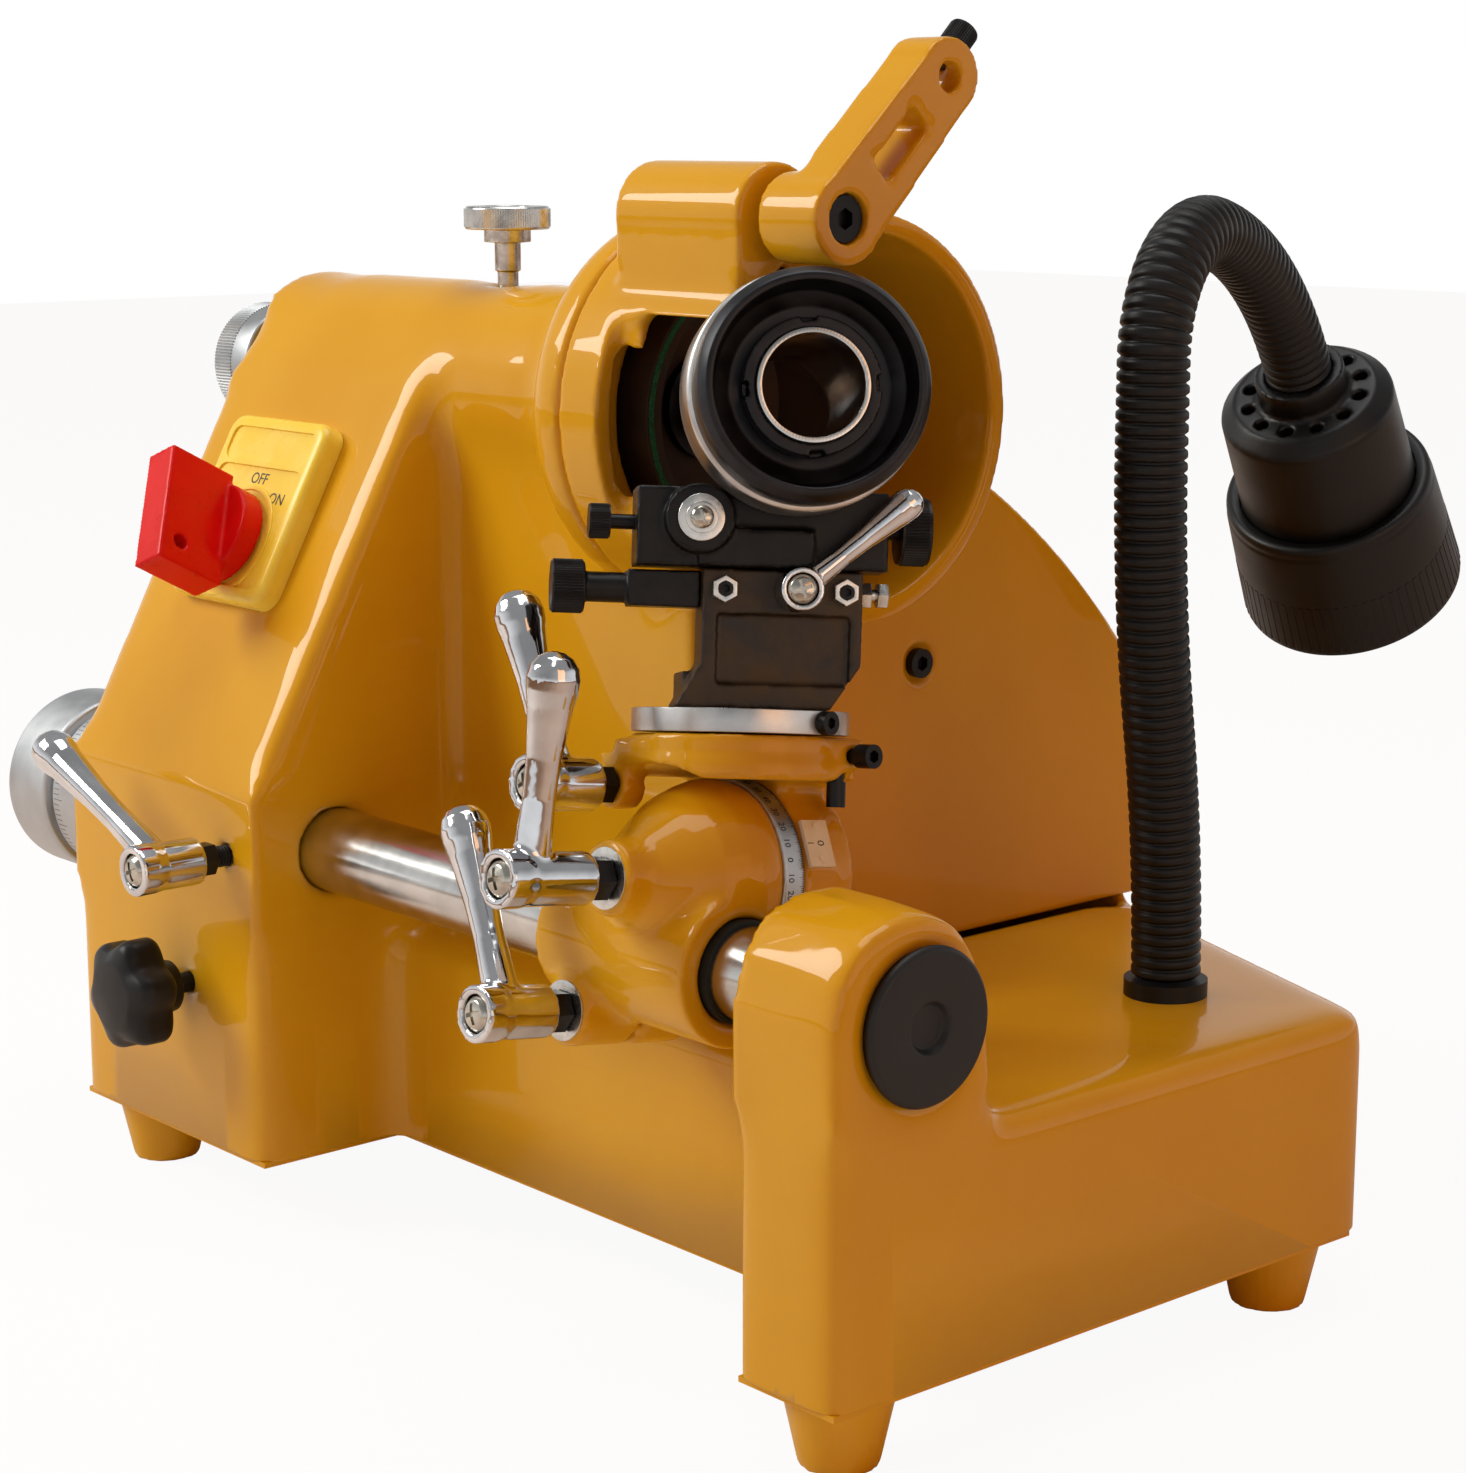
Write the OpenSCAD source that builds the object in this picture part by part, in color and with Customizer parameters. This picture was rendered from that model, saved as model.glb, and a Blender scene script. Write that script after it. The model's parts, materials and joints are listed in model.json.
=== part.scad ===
// Bench tool and cutter grinder with a cup wheel, a dividing head and a work lamp.
// Millimetres, +Z up, bench at z = 0, origin midway between the four feet.

/* [Base] */
// length of the base along the guide bar
base_len = 450; // [446:1:456]
// front of the column and of the bar post, ahead of the origin
front_off = 163; // [161:1:166]
// back of the housing, behind the origin
back_off = 163; // [160:1:168]
// height of the base top above the bench
base_top = 107; // [105:1:109]
// height of the cast feet
foot_h = 25; // [22:1:28]
// thickness of the bottom plate
plate_t = 2; // [1.5:0.5:3]
// wall of the castings
wall = 8; // [7:0.5:9]
// width of the switch column
col_w = 134; // [130:1:138]
// width of the bar post
post_w = 47; // [45:1:50]
// width of the strip of base in front of the housing
ledge_off = 100; // [98:1:103]

/* [Wheel head] */
// height of the wheel axis above the bench
spin_z = 314; // [312:1:316]
// distance of the wheel axis ahead of the origin
spin_off = 37; // [35:1:39]
// outer radius of the head tube
tube_r = 40; // [39:0.5:42]
// radius of the sliding spindle sleeve
sleeve_r = 30; // [29:0.5:31]
// outer radius of the wheel guard
guard_r = 71; // [70:0.5:73]
// front plane of the wheel guard, right of the origin
guard_x = 101; // [99:1:104]
// radius of the cup wheel
wheel_r = 50; // [48:1:50]
// swing radius of the dresser arm
arm_len = 64; // [60:1:68]
// how far the dresser arm leans back from upright
arm_lean = 45; // [35:1:50]

/* [Guide bar] */
// radius of the guide bar
bar_r = 16; // [15:0.5:16.5]
// height of the guide bar axis above the bench
bar_z = 144; // [143:1:146]
// distance of the guide bar axis ahead of the origin
bar_off = 126; // [125:1:127]
// radius of the feed drum on the bar's left end
drum_r = 37; // [35:1:39]

/* [Work head] */
// how far the carriage leans back round the bar, degrees
lean = 8.8; // [7:0.1:10]
// relief tilt of the head, degrees
relief = 7.7; // [6:0.1:10]
// swivel of the head on its turntable, degrees
swivel = 34.2; // [32:0.1:36]
// height of the tilt axis above the bar axis
tilt_h = 25.5; // [25.5:0.5:27]
// height of the turntable top above the tilt axis
table_h = 56; // [55:0.5:58]
// radius of the turntable ring
table_r = 36.5; // [36:0.5:38]
// height of the work spindle above the turntable
head_h = 102; // [101:0.5:104]
// offset of the work spindle from the turntable axis
head_y = 12; // [11:0.5:13]
// outer radius of the index ring
ring_r = 39; // [38:0.5:39.5]
// radius of the collet sleeve's bore
bore_r = 16.5; // [15:0.5:17]

/* [Levers] */
// swing length of the clamp levers
lever_l = 72; // [68:1:76]
// swing length of the bar lock lever
lock_l = 92; // [86:1:98]

/* [Lamp] */
// radius of the flexible lamp neck
neck_r = 12.5; // [11.5:0.5:13]
// radius of the lamp shade's mouth
shade_r = 43; // [41:1:45]

/* [Hidden] */
base_x = base_len / 2;
col_x = col_w - base_x;
post_x = base_x - post_w;
front_y = -front_off;
back_y = back_off;
ledge_y = -ledge_off;
spin_y = -spin_off;
bar_y = -bar_off;
cover_x = 55;
cover_t = 4;
collar_x = 23.5;
slope_y = front_y;
slope_z = 168;
slope_a = 61.7;
pulley_x = -110;
motor_y = 74;
motor_z = 172;
belt_a = atan2(motor_y + spin_off, spin_z - motor_z);
switch_x = col_w / 2 - base_x - 1;
switch_s = 109;
knob_s = 95;
lock_x = col_x - 20;
screw_x = col_x - 6;
knob_x = lock_x - 32;
knob_z = 88;
boss_y = -75;
boss_z = spin_z + 69.5;
boss_r = 18;
arm_x = guard_x + 6;
tilt_x = post_x - 67;
tilt_y = 20;
seal_r = bar_r + 1.3;
dial_gap = 0.2;
dial_r = 33.5;
dial_y = tilt_y - 2.5;
band_y = tilt_y - 8.5;
band_t = 2.5;
rim_z = 11.5;
ear_h = 30;
ear_x = -22;
flange_t = 14.6;
flange_z = table_h - 8.4 - flange_t;
stop_y = 17;
stop_z = table_h - 14.5;
plate_a = 21;
block_x = 8;
clamp_z = 38.8;
block_z = 46;
slot_z = 60.5;
pivot_y = head_y - 31;
pivot_z = 61.4;
work_r = bore_r + 1.9;
wheel_room = wheel_r + 7;
gap = 0.05;
foot_spots = [[25 - base_x, front_y + 23], [base_x - 22, front_y + 23],
    [25 - base_x, back_y - 23], [base_x - 22, back_y - 93]];
cover_spots = [[spin_y + 75, spin_z - 98], [spin_y - 13, spin_z - 164]];
lamp_x = base_x - 63.5;
lamp_y = 58.5;
neck_turn = 108;
neck_s = [0, -12.5, -25, -25, 24.3, 111.8];
neck_h = [0, 100, 200, 228, 269.4, 216.6];
neck_a = [0, -14.3, 0, 0, 100, 142.2];
$fn = 32;

// ---- helpers ----
module xcyl(x0, x1, r, f = 32) {
    translate([x0, 0, 0])
        rotate([0, 90, 0])
            cylinder(h = x1 - x0, r = r, $fn = f);
}
module ycyl(y0, y1, r, f = 32) {
    translate([0, y0, 0])
        rotate([-90, 0, 0])
            cylinder(h = y1 - y0, r = r, $fn = f);
}
module zcyl(z0, z1, r, f = 32) {
    translate([0, 0, z0])
        cylinder(h = z1 - z0, r = r, $fn = f);
}
// a drawing in (y, z) carried along X
module xprof(x0, x1) {
    translate([x0, 0, 0])
        rotate([90, 0, 90])
            linear_extrude(x1 - x0)
                children();
}
// a drawing in (radius, x) turned about the X axis
module xturn(f = 32) {
    rotate([0, 90, 0])
        rotate_extrude($fn = f)
            children();
}
// a drawing in (radius, distance) turned about the -Y axis
module yturn(f = 32) {
    rotate([90, 0, 0])
        rotate_extrude($fn = f)
            children();
}
module at_spindle() {
    translate([0, spin_y, spin_z])
        children();
}
module at_bar() {
    translate([0, bar_y, bar_z])
        children();
}
module in_carriage() {
    translate([0, bar_y, bar_z])
        rotate([-lean, 0, 0])
            children();
}
module in_tilt() {
    in_carriage()
        translate([tilt_x, tilt_y, tilt_h])
            rotate([0, -relief, 0])
                children();
}
module in_head() {
    in_tilt()
        translate([0, 0, table_h])
            rotate([0, 0, -swivel])
                children();
}
module at_work() {
    in_head()
        translate([0, head_y, head_h])
            children();
}
module on_slope() {
    translate([0, slope_y, slope_z])
        rotate([slope_a, 0, 0])
            children();
}

// ---- base and column ----
module base_plan(in = 0) {
    polygon([[-base_x + in, front_y + in], [col_x - in, front_y + in],
        [col_x - in, ledge_y + in], [post_x + in, ledge_y + in],
        [post_x + in, front_y + in], [base_x - in, front_y + in],
        [base_x - in, back_y - 72 - in], [base_x - 10 - in, back_y - 62 - in],
        [50, back_y - in], [-base_x + in, back_y - in]]);
}
module hood(r) {
    translate([-109, -3])
        circle(r = r, $fn = 144);
}
module column_side() {
    h = spin_z + 25;
    polygon([[front_y, foot_h + plate_t], [front_y, slope_z],
        [front_y + 86, slope_z + 159.7], [spin_y, h], [spin_y, 100],
        [spin_y, foot_h + plate_t]]);
}
module housing_side() {
    intersection() {
        hood(337);
        polygon([[-70, base_top - 5], [-70, spin_z - 20], [spin_y, spin_z + 5],
            [spin_y, 400], [back_y - 14, 400], [back_y - 14, 213], [back_y - 5, 195],
            [back_y, 168], [back_y, base_top - 5]]);
    }
}
module chamber_side(front) {
    intersection() {
        hood(329);
        polygon([[front, base_top - wall - 2], [front, 255], [spin_y, spin_z - 52],
            [0, spin_z - 39], [12, 400], [back_y - 22, 400], [back_y - wall - 2, 190],
            [back_y - wall, 160], [back_y - wall, base_top - wall - 2]]);
    }
}
module collar_shape() {
    xturn(64)
        polygon([[20, -30], [tube_r - 2, -30], [tube_r + 3, -22], [tube_r + 11, -13],
            [guard_r - 11, -4], [guard_r - 4, 4], [guard_r - 1, 9], [guard_r, 14],
            [guard_r, collar_x], [20, collar_x]]);
}
module main_casting() {
    color([0.86, 0.62, 0.13])
    difference() {
        union() {
            translate([0, 0, foot_h + plate_t])
                linear_extrude(base_top - foot_h - plate_t)
                    base_plan();
            xprof(-base_x, col_x)
                column_side();
            xprof(-base_x, cover_x - cover_t)
                housing_side();
            at_spindle()
                xcyl(-base_x, -25, tube_r, 64);
            at_spindle()
                collar_shape();
            // bar post
            xprof(post_x, base_x)
                polygon([[front_y, base_top - 5], [front_y, bar_z + 5],
                    [front_y + 4, bar_z + 20], [front_y + 14, bar_z + 31],
                    [front_y + 28, bar_z + 35.5], [front_y + 42, bar_z + 35],
                    [front_y + 55, bar_z + 29], [front_y + 64, bar_z + 18],
                    [front_y + 69, bar_z + 2], [front_y + 70, base_top - 5]]);
            // seat of the lock screw
            translate([screw_x, spin_y, spin_z])
                zcyl(tube_r - 6, tube_r + 1.2, 9, 24);
        }
        // underside of the base
        translate([0, 0, foot_h + plate_t - 1])
            linear_extrude(base_top - wall - foot_h - plate_t + 1)
                base_plan(wall);
        // belt side and motor side of the housing
        xprof(-base_x + wall, col_x - wall)
            chamber_side(-88);
        xprof(-base_x + wall, -84)
            chamber_side(-60);
        xprof(-76, cover_x)
            chamber_side(-62);
        // room behind the switch
        xprof(-base_x + wall, col_x - wall)
            polygon([[-80, 182], [-145, 182], [-84, 296], [-60, 262], [-60, 182]]);
        // seat of the wheel guard
        at_spindle()
            xcyl(collar_x, cover_x, guard_r + 0.1, 64);
        // shaft hole in the middle wall
        translate([0, motor_y, motor_z])
            xcyl(-90, -70, 14);
        // sleeve bore, wheel room, end screw
        at_spindle() {
            xcyl(-200, 10, sleeve_r + gap, 48);
            xcyl(0, 30, wheel_room, 64);
            xcyl(-base_x - 1, -190, 8 + gap);
        }
        // belt way through the head tube
        translate([pulley_x - 14, spin_y, spin_z])
            rotate([belt_a, 0, 0])
                translate([0, -26, -70])
                    cube([28, 52, 70]);
        // bar bores
        at_bar() {
            xcyl(-base_x - 1, col_x + 1, bar_r + gap, 48);
            xcyl(post_x - 1, base_x - 14, bar_r + gap, 48);
            xcyl(base_x - 6, base_x + 1, 24, 48);
        }
        // lock lever and star knob screws
        translate([lock_x, front_y, bar_z])
            ycyl(-1, 30, 4 + gap, 24);
        translate([knob_x, front_y, knob_z])
            ycyl(-1, 30, 4 + gap, 24);
        // lock screw hole and oil holes
        translate([screw_x, spin_y, spin_z])
            zcyl(15, tube_r + 2, 4 + gap, 24);
        for (x = [screw_x - 58, screw_x + 35])
            translate([x, spin_y, spin_z])
                zcyl(15, tube_r + 2, 1.6, 16);
        // switch opening
        on_slope()
            translate([switch_x, switch_s, -30])
                zcyl(0, 40, 24);
        // lamp hole
        translate([lamp_x, lamp_y, base_top])
            zcyl(-20, 5, 8 + gap, 24);
        // cable hole at the back
        translate([-150, 0, 60])
            ycyl(back_y - 20, back_y + 1, 7, 24);
    }
}
module bottom_plate() {
    color([0.5, 0.36, 0.1])
    difference() {
        translate([0, 0, foot_h])
            linear_extrude(plate_t)
                base_plan(1.5);
        for (p = foot_spots)
            translate([p[0], p[1], foot_h])
                zcyl(-1, plate_t + 1, 3.1, 16);
    }
}
module feet() {
    color([0.82, 0.58, 0.12])
    for (p = foot_spots)
        translate([p[0], p[1], 0]) {
            cylinder(h = foot_h, r1 = 13, r2 = 18.5, $fn = 32);
            zcyl(foot_h - 1, foot_h + 9, 3, 16);
        }
}
module rear_cover() {
    color([0.84, 0.6, 0.13])
    difference() {
        xprof(cover_x - cover_t, cover_x)
            difference() {
                intersection() {
                    hood(337);
                    polygon([[-69.5, base_top + 1], [-69.5, spin_z], [-60, 400],
                        [back_y - 14, 400], [back_y - 14, 213], [back_y - 5, 195],
                        [back_y, 168], [back_y, base_top + 1]]);
                }
                translate([spin_y, spin_z])
                    circle(r = guard_r + 0.4, $fn = 64);
            }
        for (p = cover_spots)
            translate([0, p[0], p[1]]) {
                xcyl(cover_x - cover_t - 1, cover_x + 1, 3.3, 16);
                xcyl(cover_x - 2.2, cover_x + 1, 7.4, 24);
            }
    }
}
module frame_screws() {
    color([0.1, 0.1, 0.11])
    for (p = cover_spots)
        translate([0, p[0], p[1]])
            difference() {
                union() {
                    xcyl(cover_x - 2.2, cover_x + 1.5, 5.5, 24);
                    xcyl(cover_x - 11, cover_x - 2, 2.9, 16);
                }
                xcyl(cover_x - 1, cover_x + 2, 2.9, 6);
            }
}
module post_cap() {
    color([0.12, 0.12, 0.13])
    at_bar()
        difference() {
            xturn(48)
                polygon([[0, base_x - 6], [24, base_x - 6], [24, base_x - 0.01],
                    [25.5, base_x + 0.2], [25.5, base_x + 1.5], [24, base_x + 3],
                    [0, base_x + 3]]);
            xcyl(base_x + 0.5, base_x + 4, 7.5, 24);
        }
}

// ---- switch ----
module switch_box() {
    color([0.95, 0.85, 0.2])
    on_slope()
        translate([switch_x, switch_s, 0])
            difference() {
                union() {
                    translate([-34, -38, 0.2])
                        cube([68, 76, 9]);
                    zcyl(-42, 1, 22);
                }
                translate([-29, 8, 8.2])
                    cube([58, 25, 2]);
                translate([-29, -33, 8.2])
                    cube([58, 38, 2]);
                translate([0, knob_s - switch_s, 0])
                    zcyl(-30, 12, 6 + gap, 24);
            }
}
module switch_knob() {
    color([0.85, 0.08, 0.05])
    on_slope()
        translate([switch_x, knob_s, 0]) {
            zcyl(-28, 13, 6, 24);
            difference() {
                union() {
                    zcyl(9.5, 19, 19, 32);
                    rotate([0, 0, 26])
                        translate([-7.5, -27, 17])
                            cube([15, 49, 30]);
                }
                rotate([0, 0, 26])
                    translate([-10, -17, 38])
                        xcyl(0, 20, 3, 16);
            }
        }
}

// ---- wheel guard and dresser ----
module wheel_guard() {
    color([0.86, 0.62, 0.13])
    difference() {
        union() {
            at_spindle()
                xcyl(collar_x, guard_x, guard_r, 64);
            translate([0, boss_y, boss_z])
                xcyl(37, guard_x, boss_r, 32);
            translate([37, boss_y - 17.5, spin_z + 30])
                cube([guard_x - 37, 36, 36]);
        }
        at_spindle() {
            xcyl(collar_x - 1, 33, wheel_room, 64);
            xcyl(30, 40, wheel_room - 3, 64);
            xcyl(37, guard_x + 1, guard_r - 7, 64);
        }
        // flat near side with the open window
        translate([45, spin_y - guard_r - 20, spin_z - 60])
            cube([guard_x, 31, 95]);
        translate([57, spin_y - guard_r - 20, spin_z - 25])
            cube([guard_x, 60, 61.6]);
        translate([56, spin_y - guard_r - 20, spin_z - 52])
            cube([guard_x, 68, 42]);
        translate([0, boss_y, boss_z])
            xcyl(guard_x - 30, guard_x + 1, 5, 24);
    }
}
module dresser_screw() {
    color([0.1, 0.1, 0.11])
    translate([0, boss_y, boss_z])
        difference() {
            union() {
                xcyl(guard_x - 29, arm_x + 20, 5, 24);
                xcyl(arm_x + 20, arm_x + 26, 7.5, 24);
            }
            xcyl(arm_x + 23, arm_x + 27, 3.6, 6);
        }
}
module arm_frame() {
    translate([arm_x, boss_y, boss_z])
        rotate([-arm_lean, 0, 0])
            children();
}
module dresser_arm() {
    color([0.86, 0.62, 0.13])
    arm_frame()
        difference() {
            union() {
                xcyl(0, 28, 15);
                translate([9, 0, arm_len])
                    xcyl(0, 19, 13);
                translate([9, 0, 0])
                    rotate([90, 0, 90])
                        linear_extrude(19)
                            polygon([[-14.4, 4], [-12.6, arm_len - 3], [12.6, arm_len - 3],
                                [14.4, 4]]);
            }
            xcyl(-1, 21, 5 + gap, 24);
            xcyl(19.7, 29, 8.3, 24);
            translate([0, 0, arm_len])
                xcyl(8, 29, 5 + gap, 24);
            translate([8, -5, 21])
                cube([21, 10, arm_len - 39]);
            translate([18.5, 0, arm_len])
                zcyl(0, 14, 2.5 + gap, 24);
        }
}
module dresser_set_screw() {
    color([0.1, 0.1, 0.11])
    arm_frame()
        translate([18.5, 0, arm_len])
            difference() {
                union() {
                    zcyl(5.5, 17, 2.5, 24);
                    zcyl(14, 22, 5, 24);
                }
                zcyl(19, 23, 2.3, 6);
            }
}
module thumb_screw() {
    color([0.72, 0.73, 0.74])
    translate([screw_x, spin_y, spin_z])
        difference() {
            union() {
                zcyl(sleeve_r + 0.4, tube_r + 20, 4, 24);
                zcyl(tube_r + 4, tube_r + 21, 5, 32);
                zcyl(tube_r + 15, tube_r + 21, 9, 32);
                zcyl(tube_r + 20, tube_r + 29, 16.5, 48);
            }
            zcyl(tube_r + 27.5, tube_r + 30, 9, 32);
        }
}

// ---- wheel spindle ----
module spindle_sleeve() {
    color([0.62, 0.63, 0.65])
    at_spindle()
        difference() {
            xcyl(-190, -4, sleeve_r, 48);
            xcyl(-180, -3, 23.5, 48);
            xcyl(-191, -170, 8 + gap, 32);
            translate([pulley_x - 18, 0, 0])
                rotate([belt_a, 0, 0])
                    translate([0, -28, -40])
                        cube([36, 56, 40]);
        }
}
module sleeve_knob() {
    color([0.78, 0.79, 0.8])
    at_spindle() {
        xcyl(-base_x - 30, -182, 8, 32);
        xcyl(-base_x - 47, -base_x - 22, 25, 48);
        xcyl(-base_x - 22, -base_x - 17, 17, 32);
    }
}
module spindle_bearings() {
    color([0.55, 0.56, 0.58])
    at_spindle()
        for (x = [-170, -18.5])
            difference() {
                xcyl(x, x + 14, 23.5, 48);
                xcyl(x - 1, x + 15, 10 + gap, 32);
            }
}
module spindle_shaft() {
    color([0.6, 0.6, 0.62])
    at_spindle() {
        xcyl(-174, 30, 10, 32);
        xcyl(-4, 5, 17, 32);
    }
}
module spindle_pulley() {
    color([0.35, 0.35, 0.37])
    at_spindle()
        difference() {
            xturn(32)
                polygon([[9, pulley_x - 15], [20, pulley_x - 15], [20, pulley_x - 13],
                    [17, pulley_x - 12], [17, pulley_x + 12], [20, pulley_x + 13],
                    [20, pulley_x + 15], [9, pulley_x + 15]]);
            xcyl(pulley_x - 16, pulley_x + 16, 10, 32);
        }
}
module grinding_wheel() {
    color([0.1, 0.35, 0.2])
    at_spindle()
        difference() {
            xturn(64)
                polygon([[10, 5], [wheel_r - 6, 5], [wheel_r, 12], [wheel_r, 47],
                    [wheel_r - 7, 47], [wheel_r - 13, 18], [10, 18]]);
            xcyl(0, 20, 10, 32);
        }
}
module wheel_nut() {
    color([0.3, 0.3, 0.32])
    at_spindle()
        difference() {
            union() {
                xcyl(18, 22, 19, 32);
                xcyl(22, 31, 15, 6);
            }
            xcyl(17, 32, 10, 32);
        }
}

// ---- motor and belt ----
module motor() {
    color([0.25, 0.27, 0.3])
    translate([0, motor_y, motor_z]) {
        xcyl(-76, -68, 45, 48);
        xcyl(-70, 40, 56, 48);
        xcyl(38, 46, 38, 48);
        for (a = [0 : 30 : 330])
            rotate([a, 0, 0])
                translate([-55, -2, 50])
                    cube([80, 4, 9]);
    }
}
module motor_pulley() {
    color([0.35, 0.35, 0.37])
    translate([0, motor_y, motor_z]) {
        xcyl(-124, -76, 8, 24);
        xturn(48)
            polygon([[6, pulley_x - 11], [32, pulley_x - 11], [32, pulley_x - 8],
                [29, pulley_x - 7], [29, pulley_x + 7], [32, pulley_x + 8],
                [32, pulley_x + 11], [6, pulley_x + 11]]);
    }
}
module belt_line(e, w) {
    dy = motor_y - spin_y;
    dz = motor_z - spin_z;
    c = sqrt(dy * dy + dz * dz);
    rotate([atan2(dz, dy), 0, 0]) {
        k = asin((29 - 17) / c);
        r1 = 17.3 + e;
        r2 = 29.3 + e;
        q1 = r1 - 0.2;
        q2 = r2 - 0.2;
        xcyl(pulley_x - w, pulley_x + w, r1, 32);
        translate([0, c, 0])
            xcyl(pulley_x - w, pulley_x + w, r2, 48);
        xprof(pulley_x - w, pulley_x + w)
            polygon([[-sin(k) * q1, cos(k) * q1], [c - sin(k) * q2, cos(k) * q2],
                [c - sin(k) * q2, -cos(k) * q2], [-sin(k) * q1, -cos(k) * q1]]);
    }
}
module drive_belt() {
    color([0.08, 0.08, 0.08])
    at_spindle()
        difference() {
            belt_line(2.2, 6);
            belt_line(0, 7);
        }
}

// ---- guide bar, feed drum, lock lever, star knob ----
module guide_bar() {
    color([0.75, 0.76, 0.78])
    at_bar()
        xturn(48)
            polygon([[0, -base_x - 47], [bar_r - 1, -base_x - 47], [bar_r, -base_x - 46],
                [bar_r, base_x - 23], [bar_r - 1, base_x - 22], [0, base_x - 22]]);
}
module feed_dial() {
    color([0.75, 0.76, 0.77])
    at_bar()
        difference() {
            xturn(48)
                polygon([[bar_r + gap, -base_x - 24], [drum_r - 5, -base_x - 24],
                    [drum_r - 2, -base_x - 20], [drum_r - 2, -base_x - 0.4],
                    [bar_r + gap, -base_x - 0.4]]);
        }
}
module feed_drum() {
    color([0.8, 0.81, 0.82])
    at_bar()
        difference() {
            xturn(48)
                polygon([[0, -base_x - 56], [drum_r - 3, -base_x - 56],
                    [drum_r, -base_x - 53], [drum_r, -base_x - 26],
                    [drum_r - 1, -base_x - 24.4], [0, -base_x - 24.4]]);
            xcyl(-base_x - 54.5, -base_x - 20, bar_r + gap, 48);
        }
}
// waisted arm with a round end, along Z from 0 to its end's centre
module lever_arm(len, hub_r, waist_r, end_r) {
    rotate_extrude($fn = 32)
        polygon([[0, 0], [hub_r, 0], [waist_r, len * 0.4], [waist_r + 0.4, len * 0.6],
            [end_r * 0.86, len - 9], [end_r * 0.97, len - 4], [end_r, len],
            [end_r * 0.9, len + end_r * 0.45], [end_r * 0.64, len + end_r * 0.78],
            [end_r * 0.3, len + end_r * 0.96], [0, len + end_r]]);
}
// clamp lever: hub along -Y from y0, arm swung by a
module lever(len, a, hub) {
    difference() {
        union() {
            ycyl(-hub, 0, 9, 32);
            ycyl(-hub - 1, -hub + 8, 9.6, 32);
            translate([0, -hub + 12, 0])
                rotate([0, -a, 0])
                    lever_arm(len - 8, 6.6, 5.3, 8.6);
        }
        ycyl(-hub - 2, 1, 4, 24);
        ycyl(-hub - 2, -hub + 3, 6.5, 24);
    }
}
// its screw: head in the hub, hexagon collar, stud to depth d
module lever_stud(hub, hex_r, collar, d) {
    difference() {
        union() {
            ycyl(-hub - 2, -hub + 2.8, 6, 24);
            ycyl(-hub + 1, 0.2, 3.9, 24);
            ycyl(0.1, collar, hex_r, 6);
            ycyl(collar - 0.2, d, 4, 24);
        }
        translate([-3.2, -hub - 3, -0.6])
            cube([6.4, 2.2, 1.2]);
        translate([-0.6, -hub - 3, -3.2])
            cube([1.2, 2.2, 6.4]);
    }
}
module bar_lock_lever() {
    color([0.8, 0.81, 0.83])
    translate([lock_x, front_y - 13, bar_z])
        lever(lock_l, 68, 26);
}
module bar_lock_stud() {
    color([0.1, 0.1, 0.11])
    translate([lock_x, front_y - 13, bar_z])
        lever_stud(26, 6.5, 7, 32.5);
}
module star_knob() {
    color([0.1, 0.1, 0.1])
    translate([knob_x, front_y, knob_z]) {
        ycyl(-12, 16, 4, 24);
        ycyl(-17, -6, 10, 32);
        for (a = [0 : 60 : 300])
            rotate([0, a + 15, 0])
                translate([16, 0, 0])
                    ycyl(-30, -15, 6.6, 24);
        ycyl(-31, -14, 17, 48);
        ycyl(-34, -30.5, 13.5, 32);
    }
}

// ---- carriage on the bar ----
module carriage() {
    color([0.86, 0.62, 0.13])
    in_carriage()
        difference() {
            union() {
                xcyl(64, 141, 26, 48);
                translate([tilt_x, 0, tilt_h])
                    yturn(48)
                        polygon([[0, -dial_y], [dial_r - band_t - 0.1, -dial_y],
                            [dial_r - band_t - 0.1, 0.1 - band_y], [dial_r, 0.1 - band_y],
                            [dial_r - 0.7, -4], [31, 2], [28, 9], [23, 16], [17.5, 23],
                            [14.5, 27], [13, 30], [13, 37], [0, 37]]);
                translate([84, 0, -24])
                    ycyl(-26, 22, 12, 32);
                translate([72, -22, -28])
                    cube([24, 44, 20]);
            }
            xcyl(60, 145, bar_r + gap, 48);
            xcyl(63, 69.5, seal_r + dial_gap, 48);
            xcyl(135.5, 146, seal_r + dial_gap, 48);
            // clamp slot
            translate([63, -1.2, -40])
                cube([34, 2.4, 32]);
            translate([84, 0, -24])
                ycyl(-30, 30, 4 + gap, 24);
            // face for the dial and the tilting head
            translate([tilt_x, 0, tilt_h]) {
                ycyl(dial_y, 60, dial_r + 3.9, 64);
                difference() {
                    dial_blank(0.1);
                    ycyl(band_y - 1, dial_y + 1, dial_r - band_t - 0.1, 64);
                }
            }
            // tilt pivot
            translate([tilt_x, 0, tilt_h]) {
                ycyl(-40, tilt_y, 4 + gap, 24);
                ycyl(-4, tilt_y, 8 + gap, 32);
            }
        }
}
module rod_seals() {
    color([0.08, 0.08, 0.08])
    in_carriage()
        for (x = [62, 136])
            difference() {
                xcyl(x, x + 7, seal_r, 48);
                xcyl(x - 1, x + 8, bar_r + gap, 48);
            }
}
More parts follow.
